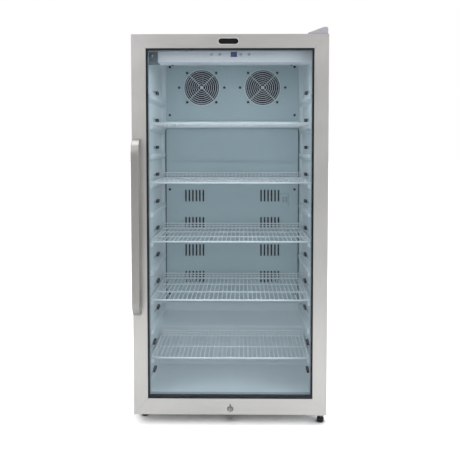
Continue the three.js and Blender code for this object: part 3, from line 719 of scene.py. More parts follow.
class Repeater:
    """Geometry Nodes trees that repeat shapes, each with named inputs for its sizes."""

    def __init__(self) -> None:
        """Start without trees."""
        self._trees: dict[str, bpy.types.NodeTree] = {}

    def _tree(
        self, name: str, inputs: dict[str, str], fill: Callable[[Graph, dict], bpy.types.Node]
    ) -> bpy.types.NodeTree:
        """Return a tree, built on its first use.

        Args:
            name: The tree's name.
            inputs: Socket types by input name.
            fill: Builds the nodes from the graph and the inputs' sockets, and returns the last node.

        Returns:
            The tree.
        """
        if name in self._trees:
            return self._trees[name]
        tree = bpy.data.node_groups.new(name, "GeometryNodeTree")
        tree.interface.new_socket(name="Geometry", in_out="INPUT", socket_type="NodeSocketGeometry")
        for label, kind in {**inputs, "Material": "Material"}.items():
            tree.interface.new_socket(name=label, in_out="INPUT", socket_type=f"NodeSocket{kind}")
        tree.interface.new_socket(name="Geometry", in_out="OUTPUT", socket_type="NodeSocketGeometry")
        graph = Graph(tree)
        entry = tree.nodes.new("NodeGroupInput")
        leave = tree.nodes.new("NodeGroupOutput")
        shape = fill(graph, entry.outputs)
        whole = graph.add("GeometryNodeRealizeInstances", {"Geometry": shape})
        done = graph.add(
            "GeometryNodeSetMaterial", {"Geometry": whole, "Material": entry.outputs["Material"]}
        )
        tree.links.new(done.outputs[0], leave.inputs[0])
        self._trees[name] = tree
        return tree

    def _grown(
        self,
        name: str,
        fill: Callable[[Graph, dict], bpy.types.Node],
        host: bpy.types.Object,
        finish: AnyFinish,
        given: dict[str, tuple[str, object]],
    ) -> bpy.types.Object:
        """Run a tree on a host object and keep its result as a plain mesh.

        Args:
            name: The tree's name.
            fill: Builds the tree's nodes on its first use.
            host: The object that holds the tree's points or paths.
            finish: The result's finish.
            given: Socket type and value of each input, by name.

        Returns:
            The host with its new mesh.
        """
        values = {label: value for label, (_, value) in given.items()}
        values["Material"] = finish.material()
        tree = self._tree(name, {label: kind for label, (kind, _) in given.items()}, fill)
        grown = host.modifiers.new("repeat", "NODES")
        grown.node_group = tree
        for item in tree.interface.items_tree:
            if item.in_out == "INPUT" and item.name in values:
                grown[item.identifier] = values[item.name]
        settled(host)
        host.data.shade_smooth()
        host.data.set_sharp_from_angle(angle=math.radians(46.0))
        return host

    @staticmethod
    def _host(
        name: str, points: Sequence[Sequence[float]], runs: Sequence[Sequence[int]] = ()
    ) -> bpy.types.Object:
        """Return an object whose mesh holds points, and edges along runs of them."""
        edges = [pair for run in runs for pair in zip(run, run[1:])]
        mesh = bpy.data.meshes.new(name)
        mesh.from_pydata([tuple(p) for p in points], edges, [])
        return listed(mesh, name)

    def wires(
        self,
        name: str,
        finish: AnyFinish,
        path: Sequence[Sequence[float]],
        radius: float,
        count: int = 1,
        step: Point = (0.0, 0.0, 0.0),
        bend: float = 0.0,
        sides: int = 8,
        loop: bool = False,
    ) -> bpy.types.Object:
        """Make a row of equal round wires.

        Args:
            name: The object's name.
            finish: The wires' finish.
            path: The first wire's points.
            radius: The wire's radius.
            count: How many wires there are.
            step: The way from one wire to the next.
            bend: Radius of the bends at the path's inner points.
            sides: Faces round a wire.
            loop: True joins the path's end to its start.

        Returns:
            The row as one object.
        """

        def fill(graph: Graph, given: dict) -> bpy.types.Node:
            """Build the row's nodes."""
            line = graph.add("GeometryNodeMeshToCurve", {"Mesh": given["Geometry"]})
            bent = graph.add(
                "GeometryNodeFilletCurve",
                {"Curve": line, "Count": 5, "Radius": given["Bend"], "Limit Radius": True},
                mode="POLY",
            )
            round_profile = graph.add(
                "GeometryNodeCurvePrimitiveCircle", {"Resolution": given["Sides"], "Radius": given["Radius"]}
            )
            wire = graph.add(
                "GeometryNodeCurveToMesh", {"Curve": bent, "Profile Curve": round_profile, "Fill Caps": True}
            )
            row = graph.add("GeometryNodeMeshLine", {"Count": given["Count"], "Offset": given["Step"]})
            return graph.add("GeometryNodeInstanceOnPoints", {"Points": row, "Instance": wire})

        run = list(range(len(path))) + ([0] if loop else [])
        given = {
            "Radius": ("Float", radius), "Count": ("Int", count), "Step": ("Vector", step),
            "Bend": ("Float", bend), "Sides": ("Int", sides),
        }
        return self._grown("wire_row", fill, self._host(name, path, [run]), finish, given)

    def copies(
        self, name: str, finish: AnyFinish, shape: bpy.types.Object, places: Sequence[Sequence[float]]
    ) -> bpy.types.Object:
        """Repeat a small shape at places.

        Args:
            name: The object's name.
            finish: The copies' finish.
            shape: The shape, made about the frame's origin, which is removed.
            places: Where the copies stand.

        Returns:
            The copies as one object.
        """

        def fill(graph: Graph, given: dict) -> bpy.types.Node:
            """Build the copies' nodes."""
            source = graph.add("GeometryNodeObjectInfo", {"Object": given["Shape"]})
            return graph.add(
                "GeometryNodeInstanceOnPoints",
                {"Points": given["Geometry"], "Instance": source.outputs["Geometry"]},
            )

        host = self._host(name, places)
        self._grown("copies_at_points", fill, host, finish, {"Shape": ("Object", shape)})
        bpy.data.objects.remove(shape)
        return host

    def pierced_sheet(
        self,
        name: str,
        finish: AnyFinish,
        width: float,
        height: float,
        corner: float,
        thickness: float,
        slots: Sequence[Pair],
        slot_size: Pair,
        slot_corner: float,
    ) -> bpy.types.Object:
        """Make a sheet in the XZ plane about the origin, pierced by equal slots.

        Args:
            name: The object's name.
            finish: The sheet's finish.
            width: Its size along X.
            height: Its size along Z.
            corner: Radius of its corners.
            thickness: Its thickness, towards +Y from Y = 0.
            slots: The slots' centres (x, z).
            slot_size: A slot's size along X and Z.
            slot_corner: Radius of a slot's corners.

        Returns:
            The sheet.
        """

        def fill(graph: Graph, given: dict) -> bpy.types.Node:
            """Build the sheet's nodes."""
            edge = graph.add(
                "GeometryNodeCurvePrimitiveQuadrilateral",
                {"Width": given["Width"], "Height": given["Height"]}
            )
            edge = graph.add(
                "GeometryNodeFilletCurve",
                {"Curve": edge, "Count": 6, "Radius": given["Corner"], "Limit Radius": True},
                mode="POLY",
            )
            slot = graph.add(
                "GeometryNodeCurvePrimitiveQuadrilateral",
                {"Width": given["Slot Width"], "Height": given["Slot Height"]},
            )
            slot = graph.add(
                "GeometryNodeFilletCurve",
                {"Curve": slot, "Count": 4, "Radius": given["Slot Corner"], "Limit Radius": True},
                mode="POLY",
            )
            holes = graph.add(
                "GeometryNodeInstanceOnPoints", {"Points": given["Geometry"], "Instance": slot}
            )
            holes = graph.add("GeometryNodeRealizeInstances", {"Geometry": holes})
            both = graph.add("GeometryNodeJoinGeometry")
            graph.tree.links.new(edge.outputs[0], both.inputs[0])
            graph.tree.links.new(holes.outputs[0], both.inputs[0])
            face = graph.add("GeometryNodeFillCurve", {"Curve": both}, mode="NGONS")
            raised = graph.add(
                "GeometryNodeExtrudeMesh",
                {
                    "Mesh": face, "Offset": (0.0, 0.0, 1.0), "Offset Scale": given["Thickness"],
                    "Individual": False,
                },
                mode="FACES",
            )
            under = graph.add("GeometryNodeFlipFaces", {"Mesh": face})
            solid = graph.add("GeometryNodeJoinGeometry")
            graph.tree.links.new(raised.outputs[0], solid.inputs[0])
            graph.tree.links.new(under.outputs[0], solid.inputs[0])
            return graph.add("GeometryNodeMergeByDistance", {"Geometry": solid, "Distance": 0.00001})

        sizes = {
            "Width": width, "Height": height, "Corner": corner, "Thickness": thickness,
            "Slot Width": slot_size[0], "Slot Height": slot_size[1], "Slot Corner": slot_corner,
        }
        given = {label: ("Float", value) for label, value in sizes.items()}
        host = self._host(name, [(x, z, 0.0) for x, z in slots])
        made = self._grown("pierced_sheet", fill, host, finish, given)
        made.data.transform(Matrix(((1, 0, 0, 0), (0, 0, 1, 0), (0, 1, 0, 0), (0, 0, 0, 1))))
        made.data.flip_normals()
        return made

    def rings(
        self, name: str, finish: AnyFinish, centre: Point, first: float, pitch: float, count: int,
        radius: float
    ) -> bpy.types.Object:
        """Make concentric wire rings in the XZ plane.

        Args:
            name: The object's name.
            finish: The wire's finish.
            centre: The rings' common centre.
            first: Radius of the inner ring.
            pitch: Growth from one ring to the next.
            count: How many rings there are.
            radius: The wire's radius.

        Returns:
            The rings as one object.
        """

        def fill(graph: Graph, given: dict) -> bpy.types.Node:
            """Build the rings' nodes."""
            circle = graph.add("GeometryNodeCurvePrimitiveCircle", {"Resolution": 48, "Radius": 1.0})
            stand = graph.add(
                "GeometryNodeTransform", {"Geometry": circle, "Rotation": (math.pi / 2, 0.0, 0.0)}
            )
            row = graph.add("GeometryNodeMeshLine", {"Count": given["Count"], "Offset": (0.0, 0.0, 0.0)})
            index = graph.add("GeometryNodeInputIndex")
            size = graph.math("MULTIPLY_ADD", index, given["Pitch"])
            graph.tree.links.new(given["First"], size.inputs[2])
            placed = graph.add(
                "GeometryNodeInstanceOnPoints", {"Points": row, "Instance": stand, "Scale": size}
            )
            curves = graph.add("GeometryNodeRealizeInstances", {"Geometry": placed})
            wire = graph.add(
                "GeometryNodeCurvePrimitiveCircle", {"Resolution": 8, "Radius": given["Radius"]}
            )
            tube = graph.add("GeometryNodeCurveToMesh", {"Curve": curves, "Profile Curve": wire})
            return graph.add("GeometryNodeTransform", {"Geometry": tube, "Translation": given["Centre"]})

        given = {
            "Centre": ("Vector", centre), "First": ("Float", first), "Pitch": ("Float", pitch),
            "Count": ("Int", count), "Radius": ("Float", radius),
        }
        return self._grown("wire_rings", fill, self._host(name, [(0, 0, 0)]), finish, given)

    def plates(
        self, name: str, finish: AnyFinish, size: Point, start: Point, step: Point, count: int
    ) -> bpy.types.Object:
        """Make a row of equal thin plates.

        Args:
            name: The object's name.
            finish: The plates' finish.
            size: A plate's size.
            start: Centre of the first plate.
            step: The way from one plate to the next.
            count: How many plates there are.

        Returns:
            The row as one object.
        """

        def fill(graph: Graph, given: dict) -> bpy.types.Node:
            """Build the row's nodes."""
            plate = graph.add("GeometryNodeMeshCube", {"Size": given["Size"]})
            row = graph.add(
                "GeometryNodeMeshLine",
                {"Count": given["Count"], "Start Location": given["Start"], "Offset": given["Step"]},
            )
            return graph.add(
                "GeometryNodeInstanceOnPoints", {"Points": row, "Instance": plate.outputs["Mesh"]}
            )

        given = {
            "Size": ("Vector", size), "Start": ("Vector", start),
            "Step": ("Vector", step), "Count": ("Int", count),
        }
        return self._grown("plate_row", fill, self._host(name, [(0, 0, 0)]), finish, given)


REPEAT = Repeater()


def pan_screw(radius: float, height: float, name: str, toward: Vector) -> bpy.types.Object:
    """Return a round screw head with a cross recess, on the origin and facing a direction.

    Args:
        radius: The head's radius.
        height: How far it stands proud.
        name: The object's name.
        toward: The direction that the head faces.

    Returns:
        The head.
    """
    profile = [
        (0.0, 0.0),
        (radius, 0.0),
        (radius, height * 0.3),
        (radius * 0.86, height * 0.75),
        (radius * 0.55, height),
        (0.0, height),
    ]
    head = Mould().turned(profile, Axis.Z, (0.0, 0.0), 12).piece(name)
    arm, half, deep = radius * 0.55, radius * 0.11, height * 0.5
    cross = [
        (half, -arm), (half, -half), (arm, -half), (arm, half), (half, half), (half, arm),
        (-half, arm), (-half, half), (-arm, half), (-arm, -half), (-half, -half), (-half, -arm),
    ]
    recess = Mould().prism(cross, Axis.Z, height - deep, height * 1.5).piece("recess")
    combined(head, recess)
    head.data.transform(Vector((0, 0, 1)).rotation_difference(toward).to_matrix().to_4x4())
    return head


# ---- door -----------------------------------------------------------------------------------


@dataclass
class DoorFrame:
    """The stainless rails, the core behind them and the bushes that the door turns on.

    Attributes:
        body: The CAD body that carries the door.
        fold: Radius of the sheet's folded edges.
        mould_edge: Radius of the core's edges.
    """

    body: str = "door"
    fold: float = 0.0011
    mould_edge: float = 0.0008

    def build(self) -> None:
        """Build and seat the rails, the core and the bushes."""
        self.rails()
        self.core()
        self.bushes()

    def rails(self) -> None:
        """Build the four rails, each brushed along its length."""
        for side in ("left", "right", "top", "bottom"):
            finish = STEEL_RAIL_Z if side in ("left", "right") else STEEL_RAIL_X
            refined(f"door_rail_{side}", f"rail_{side}", finish, self.body, self.fold, 3)

    def core(self) -> None:
        """Build the moulded frame inside the rails."""
        refined("door_core", "core_frame", CORE_PLASTIC, self.body, self.mould_edge)

    def bushes(self) -> None:
        """Build the two flanged bushes for the hinge pins."""
        for end in ("bottom", "top"):
            low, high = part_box(f"hinge_bush_{end}")
            centre = ((low.x + high.x) / 2, (low.y + high.y) / 2)
            outer, bore, edge = (high.x - low.x) / 2, 0.0046, 0.0006
            profile = [
                (bore, low.z + edge),
                (bore + edge, low.z),
                (outer - edge, low.z),
                (outer, low.z + edge),
                (outer, high.z - edge),
                (outer - edge, high.z),
                (bore + edge, high.z),
                (bore, high.z - edge),
            ]
            bush = Mould().turned(profile, Axis.Z, centre, 32, closed=True)
            piece = bush.piece(f"bush_{end}", DARK_PLASTIC)
            seated(piece, self.body, [f"hinge_bush_{end}"])


@dataclass
class DoorGlass:
    """The sealed double glazing: two panes and the spacer between them, in a dark print.

    Attributes:
        body: The CAD body that carries the door.
        ground_edge: Radius of a pane's ground edges.
        border: Width of the dark print beyond the spacer; not used.
    """

    body: str = "door"
    ground_edge: float = 0.0007
    border: float = 0.0005

    def build(self) -> None:
        """Build and seat the panes and the spacer."""
        for node in ("outer_glass", "inner_glass"):
            self.pane(node)
        refined("glass_spacer", "spacer_bar", SPACER_PRINT, self.body, 0.0003)

    def pane(self, node: str) -> None:
        """Build one pane with rounded corners and ground edges.

        Args:
            node: The pane's CAD node.
        """
        low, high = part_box(node)
        size, middle = high - low, (low + high) / 2
        outline = slab_outline(size.x, size.z, 0.004, 4, middle.x, middle.z)
        shape = Mould().prism(outline, Axis.Y, low.y, high.y)
        piece = shape.piece(f"{node}_pane", DOOR_GLASS, self.ground_edge, 2)
        seated(piece, self.body, [node])


@dataclass
class Gasket:
    """The magnetic seal: a flat foot, a folded bellows and a soft nose against the cabinet.

    Attributes:
        body: The CAD body that carries the door.
        corner: Radius of the seal's corners.
    """

    body: str = "door"
    corner: float = 0.008

    def build(self) -> None:
        """Build and seat the seal as one closed ring."""
        low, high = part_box("door_gasket")
        wide = 0.014
        deep = high.y - low.y
        section = [
            (0.00, 0.00), (1.00, 0.00), (1.00, 0.16), (0.90, 0.24), (0.84, 0.36), (0.95, 0.50),
            (1.00, 0.66), (0.98, 0.86), (0.88, 0.98), (0.62, 1.00), (0.38, 1.00), (0.12, 0.98),
            (0.02, 0.86), (0.00, 0.66), (0.06, 0.50), (0.17, 0.36), (0.11, 0.24), (0.00, 0.16),
        ]
        loops = []
        for across, along in section:
            inset = across * wide
            width, height = high.x - low.x - 2 * inset, high.z - low.z - 2 * inset
            middle = (low + high) / 2
            radius = max(0.002, self.corner - inset * 0.4)
            outline = slab_outline(width, height, radius, 4, middle.x, middle.z)
            loops.append([Vector((u, low.y + along * deep, v)) for u, v in outline])
        piece = Mould().loft(loops, closed=True).piece("seal", RUBBER)
        seated(piece, self.body, ["door_gasket"])


@dataclass
class BowHandle:
    """The flat bow handle, bent from one bar.

    Attributes:
        body: The CAD body that carries the door.
        bar: The bar's thickness.
        bend: Height over which each end curves to the door.
        edge: Radius of the bar's long edges.
    """

    body: str = "door"
    bar: float = 0.007
    bend: float = 0.053
    edge: float = 0.0016

    def build(self) -> None:
        """Build and seat the handle."""
        low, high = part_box("handle")
        outline = self.bow(low, high, 0.0) + self.bow(low, high, self.bar)[::-1]
        shape = Mould().prism(outline, Axis.X, low.x, high.x)
        piece = dressed(softened(shape.piece("bow"), self.edge, 3, 60.0), STEEL_HANDLE)
        piece.name = "bow_handle"
        seated(piece, self.body, ["handle"])

    def bow(self, low: Vector, high: Vector, inset: float, steps: int = 18) -> list[Pair]:
        """Return one face of the bow as points (y, z), from the foot of one end to the other.

        Args:
            low: Lowest corner of the handle.
            high: Highest corner of the handle.
            inset: Distance from the outer face.
            steps: Points along each bend.

        Returns:
            The points.
        """
        reach = high.y - low.y - inset
        ends = (low.z + inset, high.z - inset)
        points: list[Pair] = []
        for end, direction in zip(ends, (1, -1)):
            half = []
            for i in range(steps + 1):
                angle = math.pi / 2 * i / steps
                half.append(
                    (high.y - reach * math.sin(angle), end + direction * self.bend * (1 - math.cos(angle)))
                )
            points += half if direction > 0 else half[::-1]
        return points


@dataclass
class DoorFittings:
    """The blank badge on the top rail and the lock in the bottom rail.

    Attributes:
        body: The CAD body that carries the door.
        rim: Width of the badge's bright rim.
        dome: Rise of the badge's dark field.
    """

    body: str = "door"
    rim: float = 0.0011
    dome: float = 0.0004

    def build(self) -> None:
        """Build and seat the badge and the lock."""
        self.badge()
        self.lock_shell()
        self.lock_barrel()

    def badge(self) -> None:
        """Build the pill-shaped badge: a bright rim round a domed dark field."""
        low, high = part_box("badge_plate")
        middle, size = (low + high) / 2, high - low
        radius = size.z / 2

        def pill(inset: float) -> list[Pair]:
            """Return the pill's outline, drawn in by an inset."""
            return slab_outline(
                size.x - 2 * inset, size.z - 2 * inset, radius - inset - 1e-5, 10, middle.x, middle.z
            )

        back, front = high.y, low.y
        layers = [
            (pill(0.0), back),
            (pill(0.0), front + 0.0009),
            (pill(0.0003), front + 0.0003),
            (pill(0.0006), front),
            (pill(self.rim - 0.0003), front),
            (pill(self.rim), front + 0.0004),
        ]
        rim = Mould().tapered(layers, Axis.Y).piece("badge_rim", BADGE_LINE)
        seated(rim, self.body, ["badge_plate"])
        inner = self.rim + 0.0001
        field_layers = [
            (pill(inner), front + 0.0003),
            (pill(inner + 0.0006), front + 0.0001),
            (pill(inner + 0.0020), front - self.dome * 0.1),
            (pill(inner + 0.0048), front - self.dome * 0.2),
        ]
        enamel = Mould().tapered(field_layers, Axis.Y).piece("badge_field", BADGE_ENAMEL)
        seated(enamel, self.body, ())

    def lock_shell(self) -> None:
        """Build the lock's bezel and sleeve."""
        low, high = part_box("lock_body")
        centre = ((low.x + high.x) / 2, (low.z + high.z) / 2)
        outer = (high.x - low.x) / 2
        bore = 0.0073
        profile = [
            (bore, high.y),
            (bore, low.y + 0.0012),
            (bore + 0.0006, low.y + 0.0006),
            (outer - 0.0018, low.y),
            (outer - 0.0007, low.y + 0.0003),
            (outer, low.y + 0.0012),
            (outer, high.y - 0.0005),
            (outer - 0.0005, high.y),
        ]
        shell = Mould().turned(profile, Axis.Y, centre, 48, closed=True).piece("lock_bezel", STEEL_TURNED)
        seated(shell, self.body, ["lock_body"])
        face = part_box("door_rail_bottom")[0].y
        above = (centre[0], centre[1] + outer + 0.0030)
        pin = Mould().turned(rod_profile(0.0026, face - 0.0008, face - 0.0001, 0.0002), Axis.Y, above, 20)
        seated(pin.piece("index_pin", BLACK_PLASTIC), self.body, ())

    def lock_barrel(self) -> None:
        """Build the turning barrel with its keyway, and the cam behind it."""
        low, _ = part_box("lock_plug")
        case_low, case_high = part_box("lock_body")
        centre = ((case_low.x + case_high.x) / 2, (case_low.z + case_high.z) / 2)
        back = back_from_door(0.0434)
        barrel = Mould().turned(rod_profile(0.0069, low.y, back, 0.0007), Axis.Y, centre, 40).piece("barrel")
        rim = Mould().turned(
            rod_profile(0.0031, low.y - 0.01, low.y + 0.0006, 0.0003), Axis.Y, centre, 24
        ).piece("dish")
        combined(barrel, rim)
        x, z = centre
        slit = Mould().block((x - 0.0006, low.y - 0.01, z - 0.0038), (x + 0.0006, low.y + 0.012, z + 0.0030))
        combined(barrel, slit.piece("slit"))
        dressed(barrel, STEEL_TURNED)
        arm = rounded_outline(
            [
                (x - 0.008, z - 0.005, 0.004), (x + 0.028, z - 0.005, 0.003), (x + 0.028, z + 0.005, 0.003),
                (x - 0.008, z + 0.005, 0.004),
            ]
        )
        cam = Mould().prism(arm, Axis.Y, back + 0.0001, back_from_door(0.0455)).piece("cam", ZINC, 0.0004)
        nut = Mould().prism(
            ring_of(0.0052, 6, *centre), Axis.Y, back_from_door(0.0455), back_from_door(0.0482)
        )
        parts = [barrel, cam, nut.piece("nut", SCREW_STEEL, 0.0003)]
        seated(joined("lock_barrel", parts), "lock", ["lock_plug"])


# ---- cabinet --------------------------------------------------------------------------------


@dataclass
class CabinetShell:
    """The painted outer shell, the back panel, the base pan and the foam between them and the liner.

    Attributes:
        body: The CAD body of the cabinet.
        fold: Radius of the shell's folded edges; not used.
        bead_depth: Depth of the beads pressed in the back panel.
    """

    body: str = "cabinet"
    fold: float = 0.0028
    bead_depth: float = 0.0007

    def build(self) -> None:
        """Build and seat the shell's pieces."""
        refined("cabinet_shell", "shell", CABINET_PAINT, self.body, 0.0010, 3)
        refined("base_pan", "pan", ZINC, self.body, 0.0004)
        refined("foam_insulation", "foam", FOAM, self.body, 0.002)
        self.back_panel()

    def back_panel(self) -> None:
        """Build the back panel with its pressed beads and its screws."""
        low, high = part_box("rear_panel")
        middle = (low + high) / 2
        outline = slab_outline(high.x - low.x, high.z - low.z, 0.003, 3, middle.x, middle.z)
        sheet = Mould().prism(outline, Axis.Y, low.y, high.y).piece("sheet")
        beads = Mould()
        for i in range(5):
            z = low.z + (high.z - low.z) * (i + 0.5) / 5
            floor = slab_outline(0.50, 0.020, 0.0099, 8, middle.x, z)
            mouth = slab_outline(0.51, 0.030, 0.0149, 8, middle.x, z)
            beads.tapered([(floor, high.y - self.bead_depth), (mouth, high.y + 0.0001)], Axis.Y)
        combined(sheet, beads.piece("beads"))
        piece = dressed(softened(sheet, 0.0004, 2), CABINET_PAINT)
        piece.name = "back_panel"
        seated(piece, self.body, ["rear_panel"])
        columns = [low.x + 0.012, middle.x, high.x - 0.012]
        places = [(x, high.y, z) for x in columns[::2] for z in self._spread(low.z + 0.02, high.z - 0.02, 6)]
        places += [(middle.x, high.y, z) for z in (low.z + 0.008, high.z - 0.008)]
        head = pan_screw(0.0042, 0.0016, "back_screw", Vector((0, 1, 0)))
        sunk = [(x, y - 0.0016, z) for x, y, z in places]
        screws = REPEAT.copies("back_panel_screws", SCREW_STEEL, head, sunk)
        seated(screws, self.body, ())

    @staticmethod
    def _spread(start: float, end: float, count: int) -> list[float]:
        """Return evenly spaced values."""
        return [start + (end - start) * i / (count - 1) for i in range(count)]


@dataclass
class Liner:
    """The moulded inner room: ledges for the shelves, clip sockets, floor grooves and the rear step.

    Attributes:
        body: The CAD body of the cabinet.
        half: Half of the room's width.
        floor: Height of the floor.
        ceiling: Height of the ceiling.
        back: Depth of the back wall behind the door's face.
        wall: The moulding's thickness.
        corner: Radius of the room's corners.
        ledge_top: Height of the highest ledge.
        ledge_pitch: Distance from one ledge down to the next.
        ledge_count: How many ledges there are on a side.
        socket_rise: Height of a clip socket's middle above its ledge's top.
    """

    body: str = "cabinet"
    half: float = 0.283
    floor: float = 0.092
    ceiling: float = 1.266
    back: float = 0.462
    wall: float = 0.002
    corner: float = 0.010
    ledge_top: float = 1.118
    ledge_pitch: float = 0.1013
    ledge_count: int = 10
    socket_rise: float = 0.0233

    def build(self) -> None:
        """Build and seat the liner and the clip sockets."""
        low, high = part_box("inner_liner")
        front = low.y
        lip = slab_outline(high.x - low.x, high.z - low.z, 0.006, 4, 0.0, (low.z + high.z) / 2)
        body = Mould().prism(lip, Axis.Y, front, front + self.wall).piece("lip")
        outer = Mould().prism(
            self.section(front + 0.0001, self.wall), Axis.X, -self.half - self.wall, self.half + self.wall
        )
        combined(body, softened(outer.piece("outer"), self.corner, 4, 60.0), "UNION")
        combined(body, self.recess(self.wall).piece("recess_wall"), "UNION")
        combined(body, self.cavity(front))
        liner = dressed(softened(body, 0.0, 1), LINER_PLASTIC)
        liner.name = "liner"
        seated(liner, self.body, ["inner_liner"])
        self.clips()

    def section(self, front: float, grow: float) -> list[Pair]:
        """Return the room's side outline (y, z), grown outwards.

        Args:
            front: Where it starts, as a frame Y.
            grow: How far outwards it stands from the room.

        Returns:
            The outline with its bends rounded.
        """
        foot, face = back_from_door(0.360), back_from_door(0.366)
        back = back_from_door(self.back) + grow
        floor, top = self.floor - grow, self.ceiling + grow
        corners = [
            (front, floor, 0.0),
            (foot + grow, floor, self.corner),
            (face + grow, 0.240 - grow, self.corner),
            (back, 0.277 - grow, self.corner),
            (back, top, self.corner),
            (front, top, 0.0),
        ]
        return rounded_outline(corners, 5)

    def recess(self, grow: float) -> Mould:
        """Return the box behind the duct panel, grown outwards."""
        low = (-0.255 - grow, back_from_door(0.4605), 0.330 - grow)
        return Mould().block(low, (0.255 + grow, back_from_door(0.506) + grow, 1.256 + grow))

    def cavity(self, front: float) -> bpy.types.Object:
        """Return the room's air: rounded, less the ledges, with the grooves and the pipe's hole.

        Args:
            front: The lip's front, as a frame Y.

        Returns:
            The solid that is cut from the liner.
        """
        room = Mould().prism(self.section(front - 0.03, 0.0), Axis.X, -self.half, self.half).piece("room")
        air = softened(room, self.corner, 5, 60.0)
        combined(air, self.ledges())
        sill = slab_outline(0.58, 0.0025, 0.0010, 3, 0.0, self.floor + 0.0015)
        strip = Mould().prism(sill, Axis.Y, front - 0.04, back_from_door(0.088)).piece("sill", width=0.001)
        combined(air, strip)
        combined(air, self.recess(0.0).piece("recess"), "UNION")
        combined(air, self.grooves(), "UNION")
        pipe = Mould().turned(
            rod_profile(0.007, back_from_door(0.50), back_from_door(0.52), 0.001), Axis.Y, (-0.240, 0.890),
            24
        )
        return combined(air, pipe.piece("pipe_hole"), "UNION")

    def ledges(self) -> bpy.types.Object:
        """Return the rows of ledges on both side walls."""
        rows = Mould()
        for i in range(self.ledge_count):
            top = self.ledge_top - i * self.ledge_pitch
            back = back_from_door(0.358 if top < 0.240 else 0.455)
            for side in (-1, 1):
                wall, inner = side * (self.half + 0.004), side * 0.266
                corners = [
                    (wall, top, 0.0),
                    (inner, top, 0.0022),
                    (inner, top - 0.014, 0.004),
                    (side * self.half, top - 0.024, 0.004),
                    (wall, top - 0.0255, 0.0),
                ]
                outline = rounded_outline(corners, 4)
                slim = [(wall + (u - wall) * 0.72, v) for u, v in outline]
                start = back_from_door(0.072)
                layers = [(slim, start), (outline, start + 0.005), (outline, back)]
                rows.tapered(layers, Axis.Y)
        return rows.piece("ledges")

    def grooves(self) -> bpy.types.Object:
        """Return the six shallow drain grooves of the floor."""
        rows = Mould()
        for x in (-0.226, -0.136, -0.0454, 0.0454, 0.136, 0.226):
            start, end = back_from_door(0.092), back_from_door(0.350)
            middle = (start + end) / 2
            mouth = slab_outline(0.012, end - start, 0.0059, 6, x, middle)
            bed = slab_outline(0.010, end - start - 0.002, 0.0049, 6, x, middle)
            rows.tapered([(bed, self.floor - 0.0013), (mouth, self.floor + 0.0002)], Axis.Z)
        return rows.piece("grooves")

    def clips(self) -> None:
        """Build the long clip sockets above the ledges and under the last, in a row on each side wall."""
        heights = [
            self.ledge_top + self.socket_rise - i * self.ledge_pitch for i in range(self.ledge_count + 1)
        ]
        for side, label in ((-1, "left"), (1, "right")):
            wells = [self.plate(side, 0.046, 0.0112, 0.0080), self.plate(side, 0.056, 0.0090, 0.0008)]
            finishes = (BLACK_PLASTIC, SOCKET_GREY)
            for shape, finish, shift, name in zip(wells, finishes, (0.0, -0.054), ("sockets", "tongues")):
                places = []
                for z in heights:
                    middle = back_from_door(0.196 if z < 0.27 else 0.306) + shift
                    places.append((side * self.half, middle, z))
                row = REPEAT.copies(f"clip_{name}_{label}", finish, shape, places)
                seated(row, self.body, ())

    def plate(self, side: int, length: float, height: float, proud: float) -> bpy.types.Object:
        """Return a long plate with a sunk middle, on the origin and facing the room.

        Args:
            side: -1 for the left wall, 1 for the right.
            length: Its size along Y.
            height: Its size along Z.
            proud: How far it stands out of the wall.

        Returns:
            The plate.
        """
        rim = slab_outline(length, height, 0.002, 3)
        lip = slab_outline(length - 0.0012, height - 0.0012, 0.0015, 3)
        well = slab_outline(length - 0.004, height - 0.004, 0.001, 3)
        layers = [(rim, 0.0), (rim, proud - 0.0003), (lip, proud), (well, proud), (well, proud - 0.0004)]
        return Mould().tapered([(outline, -side * w) for outline, w in layers], Axis.X).piece("plate")


